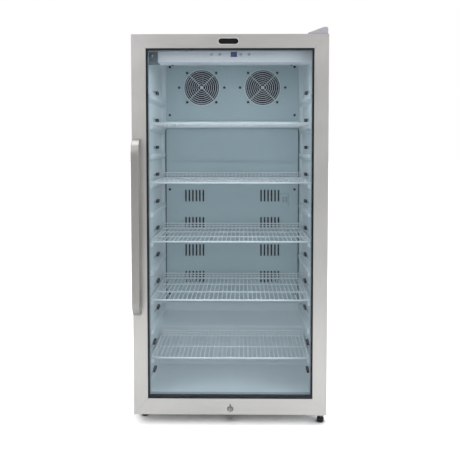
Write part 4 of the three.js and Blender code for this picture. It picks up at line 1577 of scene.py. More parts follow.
@dataclass
class AirDuct:
    """The panel over the cooling duct, its fans, their guards and the coil behind them.

    Attributes:
        body: The CAD body of the cabinet.
        fan_x: Distance of each fan's axis from the middle.
        fan_z: Height of the fans' axes.
        opening: Radius of a fan's opening in the panel.
        slot_tops: Heights of the tops of the slot rows.
        ring_count: How many rings a fan's guard has.
        ring_pitch: Distance from one ring to the next.
        ring_wire: Radius of a ring's wire.
        shade_strip_top: Height of the top of the dark strips beside the panel, which paint the shade in the
            gaps to the side walls.
    """

    body: str = "cabinet"
    fan_x: float = 0.1212
    fan_z: float = 1.176
    opening: float = 0.068
    slot_tops: tuple[float, ...] = (0.7688, 0.659, 0.5488, 0.4406)
    ring_count: int = 8
    ring_pitch: float = 0.0081
    ring_wire: float = 0.0012
    shade_strip_top: float = 1.012

    def build(self) -> None:
        """Build and seat the duct's pieces."""
        self.panel()
        for side, label in ((-1, "left"), (1, "right")):
            self.guard(side, label)
            self.frame_of(label)
            self.wheel(side, label)
        self.coil()
        self.baffle()
        self.trim()

    def panel(self) -> None:
        """Build the slotted panel with its flange, openings and screws."""
        low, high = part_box("air_duct_panel")
        front, back = back_from_door(0.459), high.y
        middle_z = (low.z + high.z) / 2
        slots = []
        for side in (-1, 1):
            for top in self.slot_tops:
                for i in range(6):
                    slots.append((side * 0.151 + (i - 2.5) * 0.014, top - 0.02375 - middle_z))
        width, height = high.x - low.x, high.z - low.z
        sheet = REPEAT.pierced_sheet(
            "panel_sheet", DUCT_PLASTIC, width, height, 0.006, back - front, slots, (0.0065, 0.0475), 0.0022
        )
        sheet.data.transform(Matrix.Translation((0.0, front, middle_z)))
        for side in (-1, 1):
            hole = Mould().turned(
                rod_profile(self.opening, front - 0.01, back + 0.01, 0.001), Axis.Y,
                (side * self.fan_x, self.fan_z), 64
            )
            combined(sheet, hole.piece("opening"))
            dashes = Mould()
            for i in range(13):
                x = side * 0.1195 + (i - 6) * 0.0092
                dashes.block((x - 0.0030, front - 0.01, 1.2592), (x + 0.0030, back + 0.01, 1.2620))
            combined(sheet, dashes.piece("dashes"))
        flange = Mould().block(
            (low.x + 0.012, low.y, high.z - 0.0018), (high.x - 0.012, front + 0.0005, high.z)
        )
        combined(sheet, flange.piece("flange"), "UNION")
        panel = dressed(softened(sheet, 0.0005, 2), DUCT_PLASTIC)
        panel.name = "duct_panel"
        seated(panel, self.body, ["air_duct_panel"])
        self.panel_screws(front, high.z)

    def panel_screws(self, front: float, top: float) -> None:
        """Build the screws on the panel's face and flange.

        Args:
            front: The panel's front face, as a frame Y.
            top: The panel's top.
        """
        spots = [(0.248, 1.2575), (0.249, 1.067), (0.250, 0.770), (0.252, 0.347)]
        places = [(side * x, front, z) for x, z in spots for side in (-1, 1)]
        head = pan_screw(0.0052, 0.0018, "panel_screw", Vector((0, -1, 0)))
        face = REPEAT.copies("panel_screws", BLACK_PLASTIC, head, places)
        seated(face, self.body, ())
        lip = pan_screw(0.0052, 0.0030, "flange_screw", Vector((0, 0, -1)))
        spots_up = [(side * 0.235, back_from_door(0.442), top - 0.0018) for side in (-1, 1)]
        seated(REPEAT.copies("flange_screws", BLACK_PLASTIC, lip, spots_up), self.body, ())

    def guard(self, side: int, label: str) -> None:
        """Build a fan's ring guard, its spokes, hub and screws.

        Args:
            side: -1 for the left fan, 1 for the right.
            label: The fan's name.
        """
        low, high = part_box(f"fan_guard_{label}")
        x, y = side * self.fan_x, (low.y + high.y) / 2
        centre = (x, y, self.fan_z)
        inner = 0.0716 - (self.ring_count - 1) * self.ring_pitch
        rings = REPEAT.rings(
            "rings", GUARD_COAT, centre, inner, self.ring_pitch, self.ring_count, self.ring_wire
        )
        spokes = []
        for turn in (45.0, 135.0):
            reach = Vector((math.cos(math.radians(turn)), 0.0, math.sin(math.radians(turn)))) * 0.0715
            middle = Vector((x, y + 0.0002, self.fan_z))
            spokes.append(REPEAT.wires("spoke", GUARD_COAT, [middle - reach, middle + reach], 0.0013))
        hub = Mould().turned(
            rod_profile(0.0070, low.y, high.y - 0.0003, 0.0008), Axis.Y, (x, self.fan_z), 32
        )
        parts = [rings, *spokes, hub.piece("hub", GUARD_COAT)]
        seated(joined(f"guard_{label}", parts), self.body, [f"fan_guard_{label}"])
        around = [
            (0.058, 0.058), (0.058, -0.058), (-0.058, 0.058), (-0.058, -0.058), (0.090, 0.0), (-0.090, 0.0)
        ]
        face = back_from_door(0.459)
        places = [(x + dx, face - (0.0 if abs(dx) > 0.08 else 0.0022), self.fan_z + dz) for dx, dz in around]
        head = pan_screw(0.0052, 0.0018, "guard_screw", Vector((0, -1, 0)))
        seated(
            REPEAT.copies(f"guard_screws_{label}", BLACK_PLASTIC, head, places), self.body, (),
        )

    def frame_of(self, label: str) -> None:
        """Build a fan's square frame.

        Args:
            label: The fan's name.
        """
        refined(
            f"fan_frame_{label}", f"fan_housing_{label}", BLADE_PLASTIC, self.body, 0.0008
        )

    def wheel(self, side: int, label: str) -> None:
        """Build a fan's wheel: a domed hub and seven twisted blades.

        Args:
            side: -1 for the left fan, 1 for the right.
            label: The fan's name.
        """
        low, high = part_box(f"fan_blades_{label}")
        centre = Vector((side * self.fan_x, (low.y + high.y) / 2, self.fan_z))
        wheel = fan_wheel(0.019, 0.0565, 0.0165, 7, 0.52)
        wheel.shifted(Matrix.Translation(centre))
        piece = wheel.piece(f"wheel_{label}", BLADE_PLASTIC)
        seated(piece, f"fan_{label}", [f"fan_blades_{label}"])

    def baffle(self) -> None:
        """Build the black baffle at the back of the duct."""
        depth = back_from_door(0.5035)
        sheet = Mould().block((-0.252, depth, 0.334), (0.252, depth + 0.0015, 1.252))
        seated(sheet.piece("duct_baffle", BLACK_PLASTIC, 0.0005), self.body, ())

    def trim(self) -> None:
        """Build the dark strips beside the panel, which paint the shade in the gaps to the side walls, and
        the small cover of the room's sensor.
        """
        low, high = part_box("air_duct_panel")
        front = back_from_door(0.459)
        # Thin dark strips between the panel's edges and the walls: painted shade in the gaps.
        shade_strips = Mould()
        for side in (-1, 1):
            inner, outer = sorted((side * (high.x + 0.0006), side * (high.x + 0.0052)))
            shade_strips.block((inner, front + 0.0004, low.z + 0.004), (outer, front + 0.0024, self.shade_strip_top))
        seated(shade_strips.piece("duct_seals", GAP_SHADE_GREY, 0.0004), self.body, ())
        outline = slab_outline(0.030, 0.052, 0.004, 4, 0.2105, 0.729)
        inset = slab_outline(0.024, 0.046, 0.003, 4, 0.2105, 0.729)
        cap = Mould().tapered(
            [(outline, front - 0.0002), (outline, front - 0.0040), (inset, front - 0.0056)], Axis.Y
        )
        vents = [(x, front - 0.0060, z) for x in (0.2045, 0.2165) for z in (0.720, 0.726, 0.732, 0.738)]
        gap = Mould().block((-0.0040, -0.0002, -0.0008), (0.0040, 0.0005, 0.0008)).piece("vent")
        marks = REPEAT.copies("vents", BLACK_PLASTIC, gap, vents)
        seated(
            joined("sensor_cover", [cap.piece("cap", DUCT_PLASTIC, 0.0006), marks]), self.body, (),
        )

    def coil(self) -> None:
        """Build the cooling coil: a stack of fins on the runs of a bent tube."""
        low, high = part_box("evaporator_coil")
        count = 56
        pitch = (high.x - low.x - 0.016) / (count - 1)
        size = (0.0004, high.y - low.y - 0.001, high.z - low.z - 0.002)
        start = (low.x + 0.008, (low.y + high.y) / 2, (low.z + high.z) / 2)
        fins = REPEAT.plates("fins", ALUMINIUM, size, start, (pitch, 0.0, 0.0), count)
        path = []
        rows = 8
        for i in range(rows):
            z = low.z + 0.015 + i * (high.z - low.z - 0.03) / (rows - 1)
            ends = (low.x + 0.004, high.x - 0.004)
            path += [(x, start[1], z) for x in (ends if i % 2 == 0 else ends[::-1])]
        tube = REPEAT.wires("tube", COPPER, path, 0.0038, bend=0.012, sides=10)
        seated(joined("cooling_coil", [fins, tube]), self.body, ["evaporator_coil"])


def fan_wheel(hub: float, tip: float, depth: float, blades: int, pitch: float) -> Mould:
    """Return a fan wheel about the Y axis, centred on the origin.

    Args:
        hub: The hub's radius.
        tip: The blades' outer radius.
        depth: The wheel's depth.
        blades: How many blades there are.
        pitch: The blades' angle at the hub, in radians.

    Returns:
        The mould.
    """
    wheel = Mould()
    half = depth / 2
    hub_profile = [
        (0.0, -half),
        (hub * 0.55, -half + 0.0002),
        (hub * 0.86, -half + 0.0012),
        (hub, -half + 0.0035),
        (hub, half),
        (0.0, half),
    ]
    wheel.turned(hub_profile, Axis.Y, (0.0, 0.0), 32)
    chords, spans, thick = 6, 7, 0.0007
    for k in range(blades):
        base = 2 * math.pi * k / blades
        loops = []
        for i in range(spans + 1):
            share = i / spans
            radius = hub * 0.93 + (tip - hub * 0.93) * share
            width = (0.80 + 0.20 * share) * 2 * math.pi / blades
            lean = pitch * (1.0 - 0.45 * share)
            front, rear = [], []
            for j in range(chords + 1):
                along = j / chords - 0.5
                angle = base + along * width * 0.86 + 0.22 * share
                rise = along * depth * 0.9 * math.sin(lean) / math.sin(pitch)
                rise -= (0.25 - along * along) * 0.006
                taper = thick * (1.0 - 1.4 * along * along)
                spot = Vector((radius * math.cos(angle), rise, radius * math.sin(angle)))
                front.append(spot + Vector((0.0, -taper, 0.0)))
                rear.append(spot + Vector((0.0, taper, 0.0)))
            loops.append(front + rear[::-1])
        wheel.loft(loops, strips=True)
    return wheel


@dataclass
class WireShelf:
    """A coated wire shelf: a rim, cross wires, close front-to-back wires and a low rear fence.

    Attributes:
        number: The shelf's number from the top.
        corner: Radius of the rim's front corners.
        cross: Depths of the cross wires behind the front one.
        wires: How many front-to-back wires there are.
    """

    number: int
    corner: float = 0.009
    cross: tuple[float, ...] = (0.131, 0.262)
    wires: int = 35
    rim: float = 0.0031
    wire: float = 0.0016
    fence: float = 0.0205

    def build(self) -> None:
        """Build and seat the shelf."""
        low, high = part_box(f"shelf_{self.number}")
        z = low.z + self.rim - 0.0001
        front, back = low.y + self.rim, high.y - self.rim
        left, right = low.x + self.rim, high.x - self.rim
        corner = self.corner
        outline = rounded_outline(
            [(left, front, corner), (right, front, corner), (right, back, 0.006), (left, back, 0.006)], 5
        )
        parts = [
            REPEAT.wires("rim", WIRE_COAT, [(u, v, z) for u, v in outline], self.rim, loop=True, sides=12)
        ]
        for depth in self.cross:
            y = low.y + depth
            if y < back - 0.02:
                path = [(left, y, z - 0.0002), (right, y, z - 0.0002)]
                parts.append(REPEAT.wires("cross", WIRE_COAT, path, 0.0024, sides=8))
        top = high.z - 0.0022
        inset = 0.014
        span = (right - left - 2 * inset) / (self.wires - 1)
        lay = z + self.rim - self.wire - 0.0001
        rise = back - self.wire - 0.001
        path = [(left + inset, front, lay), (left + inset, rise, lay), (left + inset, rise, top)]
        row = REPEAT.wires(
            "wires", WIRE_COAT, path, self.wire, self.wires, (span, 0.0, 0.0), bend=0.004, sides=8
        )
        parts.append(row)
        for height, radius in ((top, 0.0021), (lay + (top - lay) * 0.5, 0.0016)):
            rail = [
                (left + 0.004, rise + self.wire + 0.0008, height),
                (right - 0.004, rise + self.wire + 0.0008, height),
            ]
            parts.append(REPEAT.wires("rail", WIRE_COAT, rail, radius, sides=8))
        shelf = joined(f"shelf_{self.number}_wires", parts)
        seated(shelf, f"wire_shelf_{self.number}", [f"shelf_{self.number}"])


@dataclass
class ControlPanel:
    """The housing over the room's front edge with its buttons, display, door switch and lamp.

    Attributes:
        body: The CAD body of the cabinet.
    """

    body: str = "cabinet"

    def build(self) -> None:
        """Build and seat the panel's pieces."""
        refined("control_panel", "control_housing", PANEL_PLASTIC, self.body, 0.0012, 3)
        refined("door_switch_housing", "switch_block", DARK_PLASTIC, self.body, 0.0015, 3)
        self.screen()
        for i in range(1, 5):
            self.button(i)
        self.switch()
        self.lamp()

    def screen(self) -> None:
        """Build the display: a lit screen in a dark frame, on its circuit board."""
        low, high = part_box("display_module")
        x, z = 0.012, 1.2490
        glass_outline = slab_outline(0.0202, 0.0158, 0.0012, 3, x, z)
        inner = slab_outline(0.0178, 0.0118, 0.0008, 3, x, z - 0.0012)
        front = low.y
        bezel = Mould().tapered(
            [
                (glass_outline, front + 0.0085), (glass_outline, front + 0.0003), (inner, front),
                (inner, front + 0.0006),
            ],
            Axis.Y,
        )
        lit = Mould().prism(inner, Axis.Y, front + 0.0004, front + 0.0007).piece("lit", SCREEN)
        board = Mould().block((low.x, high.y - 0.0016, low.z), (high.x, high.y, high.z))
        chips = Mould()
        for spot in (-0.049, -0.021, 0.047):
            chips.block(
                (spot - 0.004, high.y - 0.0034, z - 0.005), (spot + 0.004, high.y - 0.0015, z + 0.005)
            )
        parts = [
            bezel.piece("bezel", BLACK_PLASTIC),
            lit,
            board.piece("board", CIRCUIT_BOARD, 0.0002),
            chips.piece("chips", BLACK_PLASTIC, 0.0003),
        ]
        seated(joined("display", parts), self.body, ["display_module"])

    def button(self, number: int) -> None:
        """Build one round button with a dished face.

        Args:
            number: The button's number from the left.
        """
        node = f"control_button_{number}"
        low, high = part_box(node)
        centre = ((low.x + high.x) / 2, (low.z + high.z) / 2)
        radius = (high.x - low.x) / 2
        profile = [
            (0.0, low.y + 0.0004),
            (radius * 0.5, low.y + 0.0003),
            (radius * 0.78, low.y),
            (radius * 0.93, low.y + 0.0001),
            (radius, low.y + 0.0006),
            (radius, high.y - 0.0003),
            (radius * 0.94, high.y),
            (0.0, high.y),
        ]
        cap = Mould().turned(profile, Axis.Y, centre, 36).piece(f"button_cap_{number}", BUTTON_PLASTIC)
        seated(cap, f"button_{number}", [node])

    def switch(self) -> None:
        """Build the door switch's round-ended plunger."""
        low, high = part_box("door_switch_plunger")
        centre = ((low.x + high.x) / 2, (low.z + high.z) / 2)
        radius = (high.x - low.x) / 2
        profile = [
            (0.0, low.y),
            (radius * 0.5, low.y + 0.0004),
            (radius * 0.85, low.y + 0.0016),
            (radius, low.y + 0.0036),
            (radius, high.y - 0.0004),
            (radius * 0.9, high.y),
            (0.0, high.y),
        ]
        plunger = Mould().turned(profile, Axis.Y, centre, 28).piece("switch_plunger", SOCKET_GREY)
        seated(plunger, "door_switch", ["door_switch_plunger"])

    def lamp(self) -> None:
        """Build the lamp: a ribbed lens between two end caps."""
        low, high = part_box("led_light")
        middle = (low + high) / 2
        lens_outline = rounded_outline(
            [
                (low.y, low.z + 0.001, 0.0), (high.y - 0.0005, low.z + 0.001, 0.0018),
                (high.y - 0.0005, high.z - 0.001, 0.0018), (low.y, high.z - 0.001, 0.0),
            ],
            4,
        )
        lens = Mould().prism(lens_outline, Axis.X, low.x + 0.006, high.x - 0.006).piece("lens", LENS_PLASTIC)
        caps = Mould()
        for x0, x1 in ((low.x, low.x + 0.0059), (high.x - 0.0059, high.x)):
            caps.block((x0, low.y, low.z), (x1, high.y, high.z))
        rib = (0.0006, 0.0006, high.z - low.z - 0.005)
        ribs = REPEAT.plates(
            "ribs", LENS_PLASTIC, rib, (low.x + 0.012, high.y - 0.0006, middle.z), (0.004, 0, 0), 94
        )
        parts = [lens, caps.piece("caps", COVER_PLASTIC, 0.0006), ribs]
        seated(joined("lamp", parts), self.body, ["led_light"])


# ---- hinges and feet ------------------------------------------------------------------------


@dataclass
class Hinges:
    """The hinge brackets with their screws, the cover over the upper one and the lock's strike.

    Attributes:
        body: The CAD body of the cabinet.
    """

    body: str = "cabinet"

    def build(self) -> None:
        """Build and seat the brackets, the cover and the strike."""
        refined("top_hinge_bracket", "upper_bracket", ZINC, self.body, 0.0005)
        refined("bottom_hinge_bracket", "lower_bracket", ZINC, self.body, 0.0005)
        refined("lock_strike", "strike_plate", ZINC, self.body, 0.0004)
        self.cover()
        self.screws()

    def cover(self) -> None:
        """Build the moulded cover: a rounded shell that slopes down to the cabinet's top."""
        low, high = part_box("hinge_cover")
        x0, x1, z0, z1 = low.x, high.x, low.z, high.z
        outline = rounded_outline(
            [
                (x0, z0, 0.0),
                (x0, z0 + 0.0045, 0.0022),
                (x0 + 0.0505, z1 - 0.0008, 0.016),
                (x1, z1, 0.0055),
                (x1, z0, 0.0),
            ],
            6,
        )
        outer = Mould().prism(outline, Axis.Y, low.y, high.y).piece("cover")
        softened(outer, 0.0022, 4, 58.0)
        wall = 0.0022
        hollow = rounded_outline(
            [
                (x0 + wall, z0 - 0.01, 0.0),
                (x0 + wall, z0 + 0.0030, 0.001),
                (x0 + 0.052, z1 - wall - 0.0012, 0.012),
                (x1 - wall, z1 - wall, 0.003),
                (x1 - wall, z0 - 0.01, 0.0),
            ],
            6,
        )
        inner = Mould().prism(hollow, Axis.Y, low.y + wall, high.y - wall).piece("hollow")
        combined(outer, inner)
        piece = dressed(softened(outer, 0.0), HINGE_PAINT)
        piece.name = "hinge_cap"
        seated(piece, self.body, ["hinge_cover"])

    def screws(self) -> None:
        """Build the brackets' screws under the base and the strike's."""
        low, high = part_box("bottom_hinge_bracket")
        down = pan_screw(0.0052, 0.0026, "bracket_screw", Vector((0, 0, -1)))
        places = [(x, high.y - 0.012, low.z) for x in (low.x + 0.010, low.x + 0.029, high.x - 0.010)]
        strike_low, strike_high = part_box("lock_strike")
        row = REPEAT.copies("bracket_screws", SCREW_STEEL, down, places)
        seated(row, self.body, ())
        small = pan_screw(0.0032, 0.0016, "strike_screw", Vector((0, 0, -1)))
        spots = [(x, strike_high.y - 0.010, strike_low.z) for x in (-0.008, 0.008)]
        seated(REPEAT.copies("strike_screws", SCREW_STEEL, small, spots), self.body, ())


@dataclass
class LevellingFoot:
    """A levelling foot: a ribbed moulded pad on a threaded stem.

    Attributes:
        place: The foot's corner of the cabinet.
        grips: How many finger grooves the pad has.
    """

    place: str
    grips: int = 16

    def build(self) -> None:
        """Build and seat the foot."""
        node = f"foot_{self.place}"
        low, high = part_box(node)
        x, y = (low.x + high.x) / 2, (low.y + high.y) / 2
        radius = (high.x - low.x) / 2
        sides = self.grips * 4
        profile = [
            (0.0, 0.0), (0.0090, 0.0), (0.0102, 0.0006), (0.0114, 0.0024), (radius, 0.0040),
            (radius, 0.0125),
            (0.0117, 0.0138), (0.0100, 0.0160), (0.0088, 0.0170), (0.0042, 0.0170),
        ]
        loops = []
        for r, z in profile:
            if r == 0.0:
                loops.append([Vector((x, y, z))])
                continue
            loop = []
            for i in range(sides):
                angle = 2 * math.pi * i / sides
                dip = 0.0006 if 0.003 < z < 0.0135 and i % 4 == 0 else 0.0
                loop.append(Vector((x + (r - dip) * math.cos(angle), y + (r - dip) * math.sin(angle), z)))
            loops.append(loop)
        pad = Mould().loft(loops).piece("pad", FOOT_RUBBER)
        stem = self.stem(x, y, 0.0168, high.z)
        seated(
            joined(f"levelling_{self.place}", [pad, stem]), f"levelling_foot_{self.place}", [node],
        )

    @staticmethod
    def stem(x: float, y: float, start: float, end: float) -> bpy.types.Object:
        """Return a threaded stem.

        Args:
            x: The stem's place along X.
            y: The stem's place along Y.
            start: Height where it starts.
            end: Height where it ends.

        Returns:
            The stem.
        """
        pitch, outer, root = 0.00125, 0.0040, 0.0034
        turns = int((end - start - 0.001) / pitch)
        profile: list[Pair] = [(0.0, start), (root, start)]
        for i in range(turns):
            z = start + 0.0004 + i * pitch
            profile += [
                (root, z), (outer, z + pitch * 0.4), (outer, z + pitch * 0.6), (root, z + pitch * 0.98)
            ]
        profile += [(root - 0.0004, end), (0.0, end)]
        return Mould().turned(profile, Axis.Z, (x, y), 20).piece("stem", SCREW_STEEL)


# ---- machine room ---------------------------------------------------------------------------


@dataclass
class MachineRoom:
    """The compressor, the condenser with its fan, the tray, the inlet and the louvred cover.

    Attributes:
        body: The CAD body of the cabinet.
    """

    body: str = "cabinet"

    def build(self) -> None:
        """Build and seat the machine room's pieces."""
        refined("machine_room_panel", "machine_wall", ZINC, self.body, 0.0003)
        refined("drain_tray", "tray", BLACK_PLASTIC, self.body, 0.0006)
        self.compressor()
        self.mount()
        self.condenser()
        refined("condenser_fan_mount", "fan_bracket", BLACK_PLASTIC, self.body, 0.0006)
        self.fan()
        self.suction_line()
        self.inlet()
        self.cover()

    def compressor(self) -> None:
        """Build the compressor's two drawn shells, their weld and its terminal box."""
        low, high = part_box("compressor")
        x, y, radius = -0.170, back_from_door(0.478), 0.071
        seam = low.z + 0.070
        profile = [
            (0.0, low.z), (radius * 0.50, low.z + 0.0008), (radius * 0.74, low.z + 0.004),
            (radius * 0.90, low.z + 0.012), (radius * 0.965, low.z + 0.024), (radius * 0.975, seam - 0.004),
            (radius * 0.995, seam - 0.0025), (radius, seam), (radius * 0.995, seam + 0.0025),
            (radius * 0.96, seam + 0.0035), (radius * 0.955, high.z - 0.044),
            (radius * 0.93, high.z - 0.031),
            (radius * 0.84, high.z - 0.017), (radius * 0.66, high.z - 0.006),
            (radius * 0.40, high.z - 0.001),
            (0.0, high.z),
        ]
        can = Mould().turned(profile, Axis.Z, (x, y), 64).piece("can", SHELL_PAINT)
        box = Mould().block((x + radius - 0.006, y - 0.022, 0.080), (x + radius + 0.026, y + 0.022, 0.128))
        cap = Mould().block(
            (x + radius + 0.0005, y - 0.0225, 0.0795), (x + radius + 0.0255, y + 0.0225, 0.0805)
        )
        clip = Mould().prism(
            slab_outline(0.030, 0.006, 0.002, 3, y, 0.1282), Axis.X, x + radius + 0.004, x + radius + 0.020
        )
        parts = [
            can,
            box.piece("box", BLACK_PLASTIC, 0.0025, 3),
            cap.piece("cap", DARK_PLASTIC, 0.0003),
            clip.piece("clip", SCREW_STEEL, 0.0008),
        ]
        seated(joined("compressor_unit", parts), self.body, ["compressor"])

    def mount(self) -> None:
        """Build the compressor's plate and its four grooved rubber mounts."""
        low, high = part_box("compressor_mount")
        plate_outline = slab_outline(high.x - low.x, high.y - low.y, 0.012, 5, -0.170, (low.y + high.y) / 2)
        plate = Mould().prism(plate_outline, Axis.Z, 0.0500, high.z).piece("plate", ZINC, 0.0008)
        rubber = Mould()
        profile = [
            (0.0, low.z), (0.0095, low.z), (0.010, low.z + 0.0006), (0.010, low.z + 0.0018),
            (0.0072, low.z + 0.0028),
            (0.0072, low.z + 0.0050), (0.010, low.z + 0.0062), (0.010, 0.0500), (0.0, 0.0500),
        ]
        for dx in (-0.080, 0.080):
            for dy in (-0.058, 0.058):
                rubber.turned(profile, Axis.Z, (-0.170 + dx, back_from_door(0.478) + dy), 24)
        parts = [plate, rubber.piece("rubber", FOOT_RUBBER)]
        seated(joined("compressor_base", parts), self.body, ["compressor_mount"])

    def condenser(self) -> None:
        """Build the condenser: fins on the runs of a bent tube, between two end plates."""
        low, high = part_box("condenser_coil")
        y, z = (low.y + high.y) / 2, (0.050 + high.z) / 2
        count = 34
        pitch = (high.y - low.y - 0.012) / (count - 1)
        size = (high.x - low.x - 0.016, 0.0004, high.z - 0.050 - 0.002)
        fins = REPEAT.plates("fins", ALUMINIUM, size, (0.196, low.y + 0.006, z), (0.0, pitch, 0.0), count)
        path = []
        for i in range(6):
            height = 0.064 + i * 0.020
            ends = (low.y + 0.001, high.y - 0.001)
            path += [(0.205, v, height) for v in (ends if i % 2 == 0 else ends[::-1])]
        tube = REPEAT.wires("tube", COPPER, path, 0.0035, bend=0.009, sides=10)
        foot = Mould().block((high.x - 0.013, low.y + 0.005, low.z), (high.x, high.y - 0.005, 0.051))
        plates = Mould()
        for v in (low.y + 0.0022, high.y - 0.0032):
            plates.block((low.x, v, 0.050), (high.x, v + 0.001, high.z))
        parts = [fins, tube, foot.piece("foot", ZINC, 0.0005), plates.piece("end_plates", ZINC, 0.0003)]
        seated(joined("condenser", parts), self.body, ["condenser_coil"])

    def fan(self) -> None:
        """Build the condenser fan's wheel about the X axis."""
        low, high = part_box("condenser_fan_blades")
        wheel = fan_wheel(0.015, 0.0505, 0.0165, 5, 0.5)
        wheel.shifted(Matrix.Rotation(-math.pi / 2, 4, "Z"))
        wheel.shifted(Matrix.Translation(((low.x + high.x) / 2, (low.y + high.y) / 2, (low.z + high.z) / 2)))
        piece = wheel.piece("condenser_wheel", BLADE_PLASTIC)
        seated(piece, "condenser_fan", ["condenser_fan_blades"])

    def suction_line(self) -> None:
        """Build the copper line from the compressor up to the cooling coil."""
        y = back_from_door(0.478)
        rear, coil = back_from_door(0.532), back_from_door(0.487)
        path = [
            (-0.242, y, 0.120), (-0.268, y, 0.120), (-0.268, rear, 0.140), (-0.240, rear, 0.175),
            (-0.240, rear, 0.890), (-0.240, coil, 0.890), (-0.214, coil, 0.890),
        ]
        line = REPEAT.wires("return_line", COPPER, path, 0.004, bend=0.012, sides=16)
        seated(line, self.body, ["suction_line"])

    def inlet(self) -> None:
        """Build the mains inlet: a flanged socket with three pins."""
        low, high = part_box("power_inlet")
        middle = (low + high) / 2
        block = Mould().prism(
            slab_outline(high.x - low.x, high.z - low.z, 0.003, 4, middle.x, middle.z), Axis.Y, low.y, high.y
        )
        shell = block.piece("inlet_shell", width=0.0006)
        corners = [
            (middle.x - 0.012, middle.z - 0.008, 0.0015), (middle.x + 0.012, middle.z - 0.008, 0.0015),
            (middle.x + 0.012, middle.z + 0.003, 0.001), (middle.x + 0.007, middle.z + 0.008, 0.001),
            (middle.x - 0.007, middle.z + 0.008, 0.001), (middle.x - 0.012, middle.z + 0.003, 0.001),
        ]
        well = Mould().prism(rounded_outline(corners, 3), Axis.Y, low.y + 0.008, high.y + 0.01).piece("well")
        combined(shell, well)
        pins = Mould()
        for dx, dz in ((-0.007, -0.002), (0.0, 0.002), (0.007, -0.002)):
            x, z = middle.x + dx, middle.z + dz
            pins.block((x - 0.001, low.y + 0.007, z - 0.002), (x + 0.001, high.y - 0.003, z + 0.002))
        parts = [dressed(softened(shell, 0.0), BLACK_PLASTIC), pins.piece("pins", SCREW_STEEL, 0.0004)]
        seated(joined("mains_inlet", parts), self.body, ["power_inlet"])

    def cover(self) -> None:
        """Build the louvred cover of the machine room and its screws."""
        low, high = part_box("rear_cover")
        middle = (low + high) / 2
        slots = [
            (-0.170 + column * 0.170, 0.0735 + row * 0.020 - middle.z)
            for column in range(3) for row in range(6)
        ]
        sheet = REPEAT.pierced_sheet(
            "cover_sheet", ZINC, high.x - low.x, high.z - low.z, 0.003, high.y - low.y, slots,
            (0.120, 0.007), 0.0034
        )
        sheet.data.transform(Matrix.Translation((0.0, low.y, middle.z)))
        inlet_low, inlet_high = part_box("power_inlet")
        hole = Mould().block(
            (inlet_low.x - 0.0005, low.y - 0.01, inlet_low.z - 0.0005),
            (inlet_high.x + 0.0005, high.y + 0.01, inlet_high.z + 0.0005)
        )
        combined(sheet, hole.piece("inlet_hole"))
        cover = dressed(softened(sheet, 0.0003, 2), ZINC)
        cover.name = "louvred_cover"
        seated(cover, self.body, ["rear_cover"])
        head = pan_screw(0.0040, 0.0016, "cover_screw", Vector((0, 1, 0)))
        xs = (low.x + 0.012, -0.100, 0.100, high.x - 0.012)
        places = [(x, high.y - 0.0016, z) for x in xs for z in (low.z + 0.010, high.z - 0.008)]
        seated(REPEAT.copies("cover_screws", SCREW_STEEL, head, places), self.body, ())


# ---- studio ---------------------------------------------------------------------------------


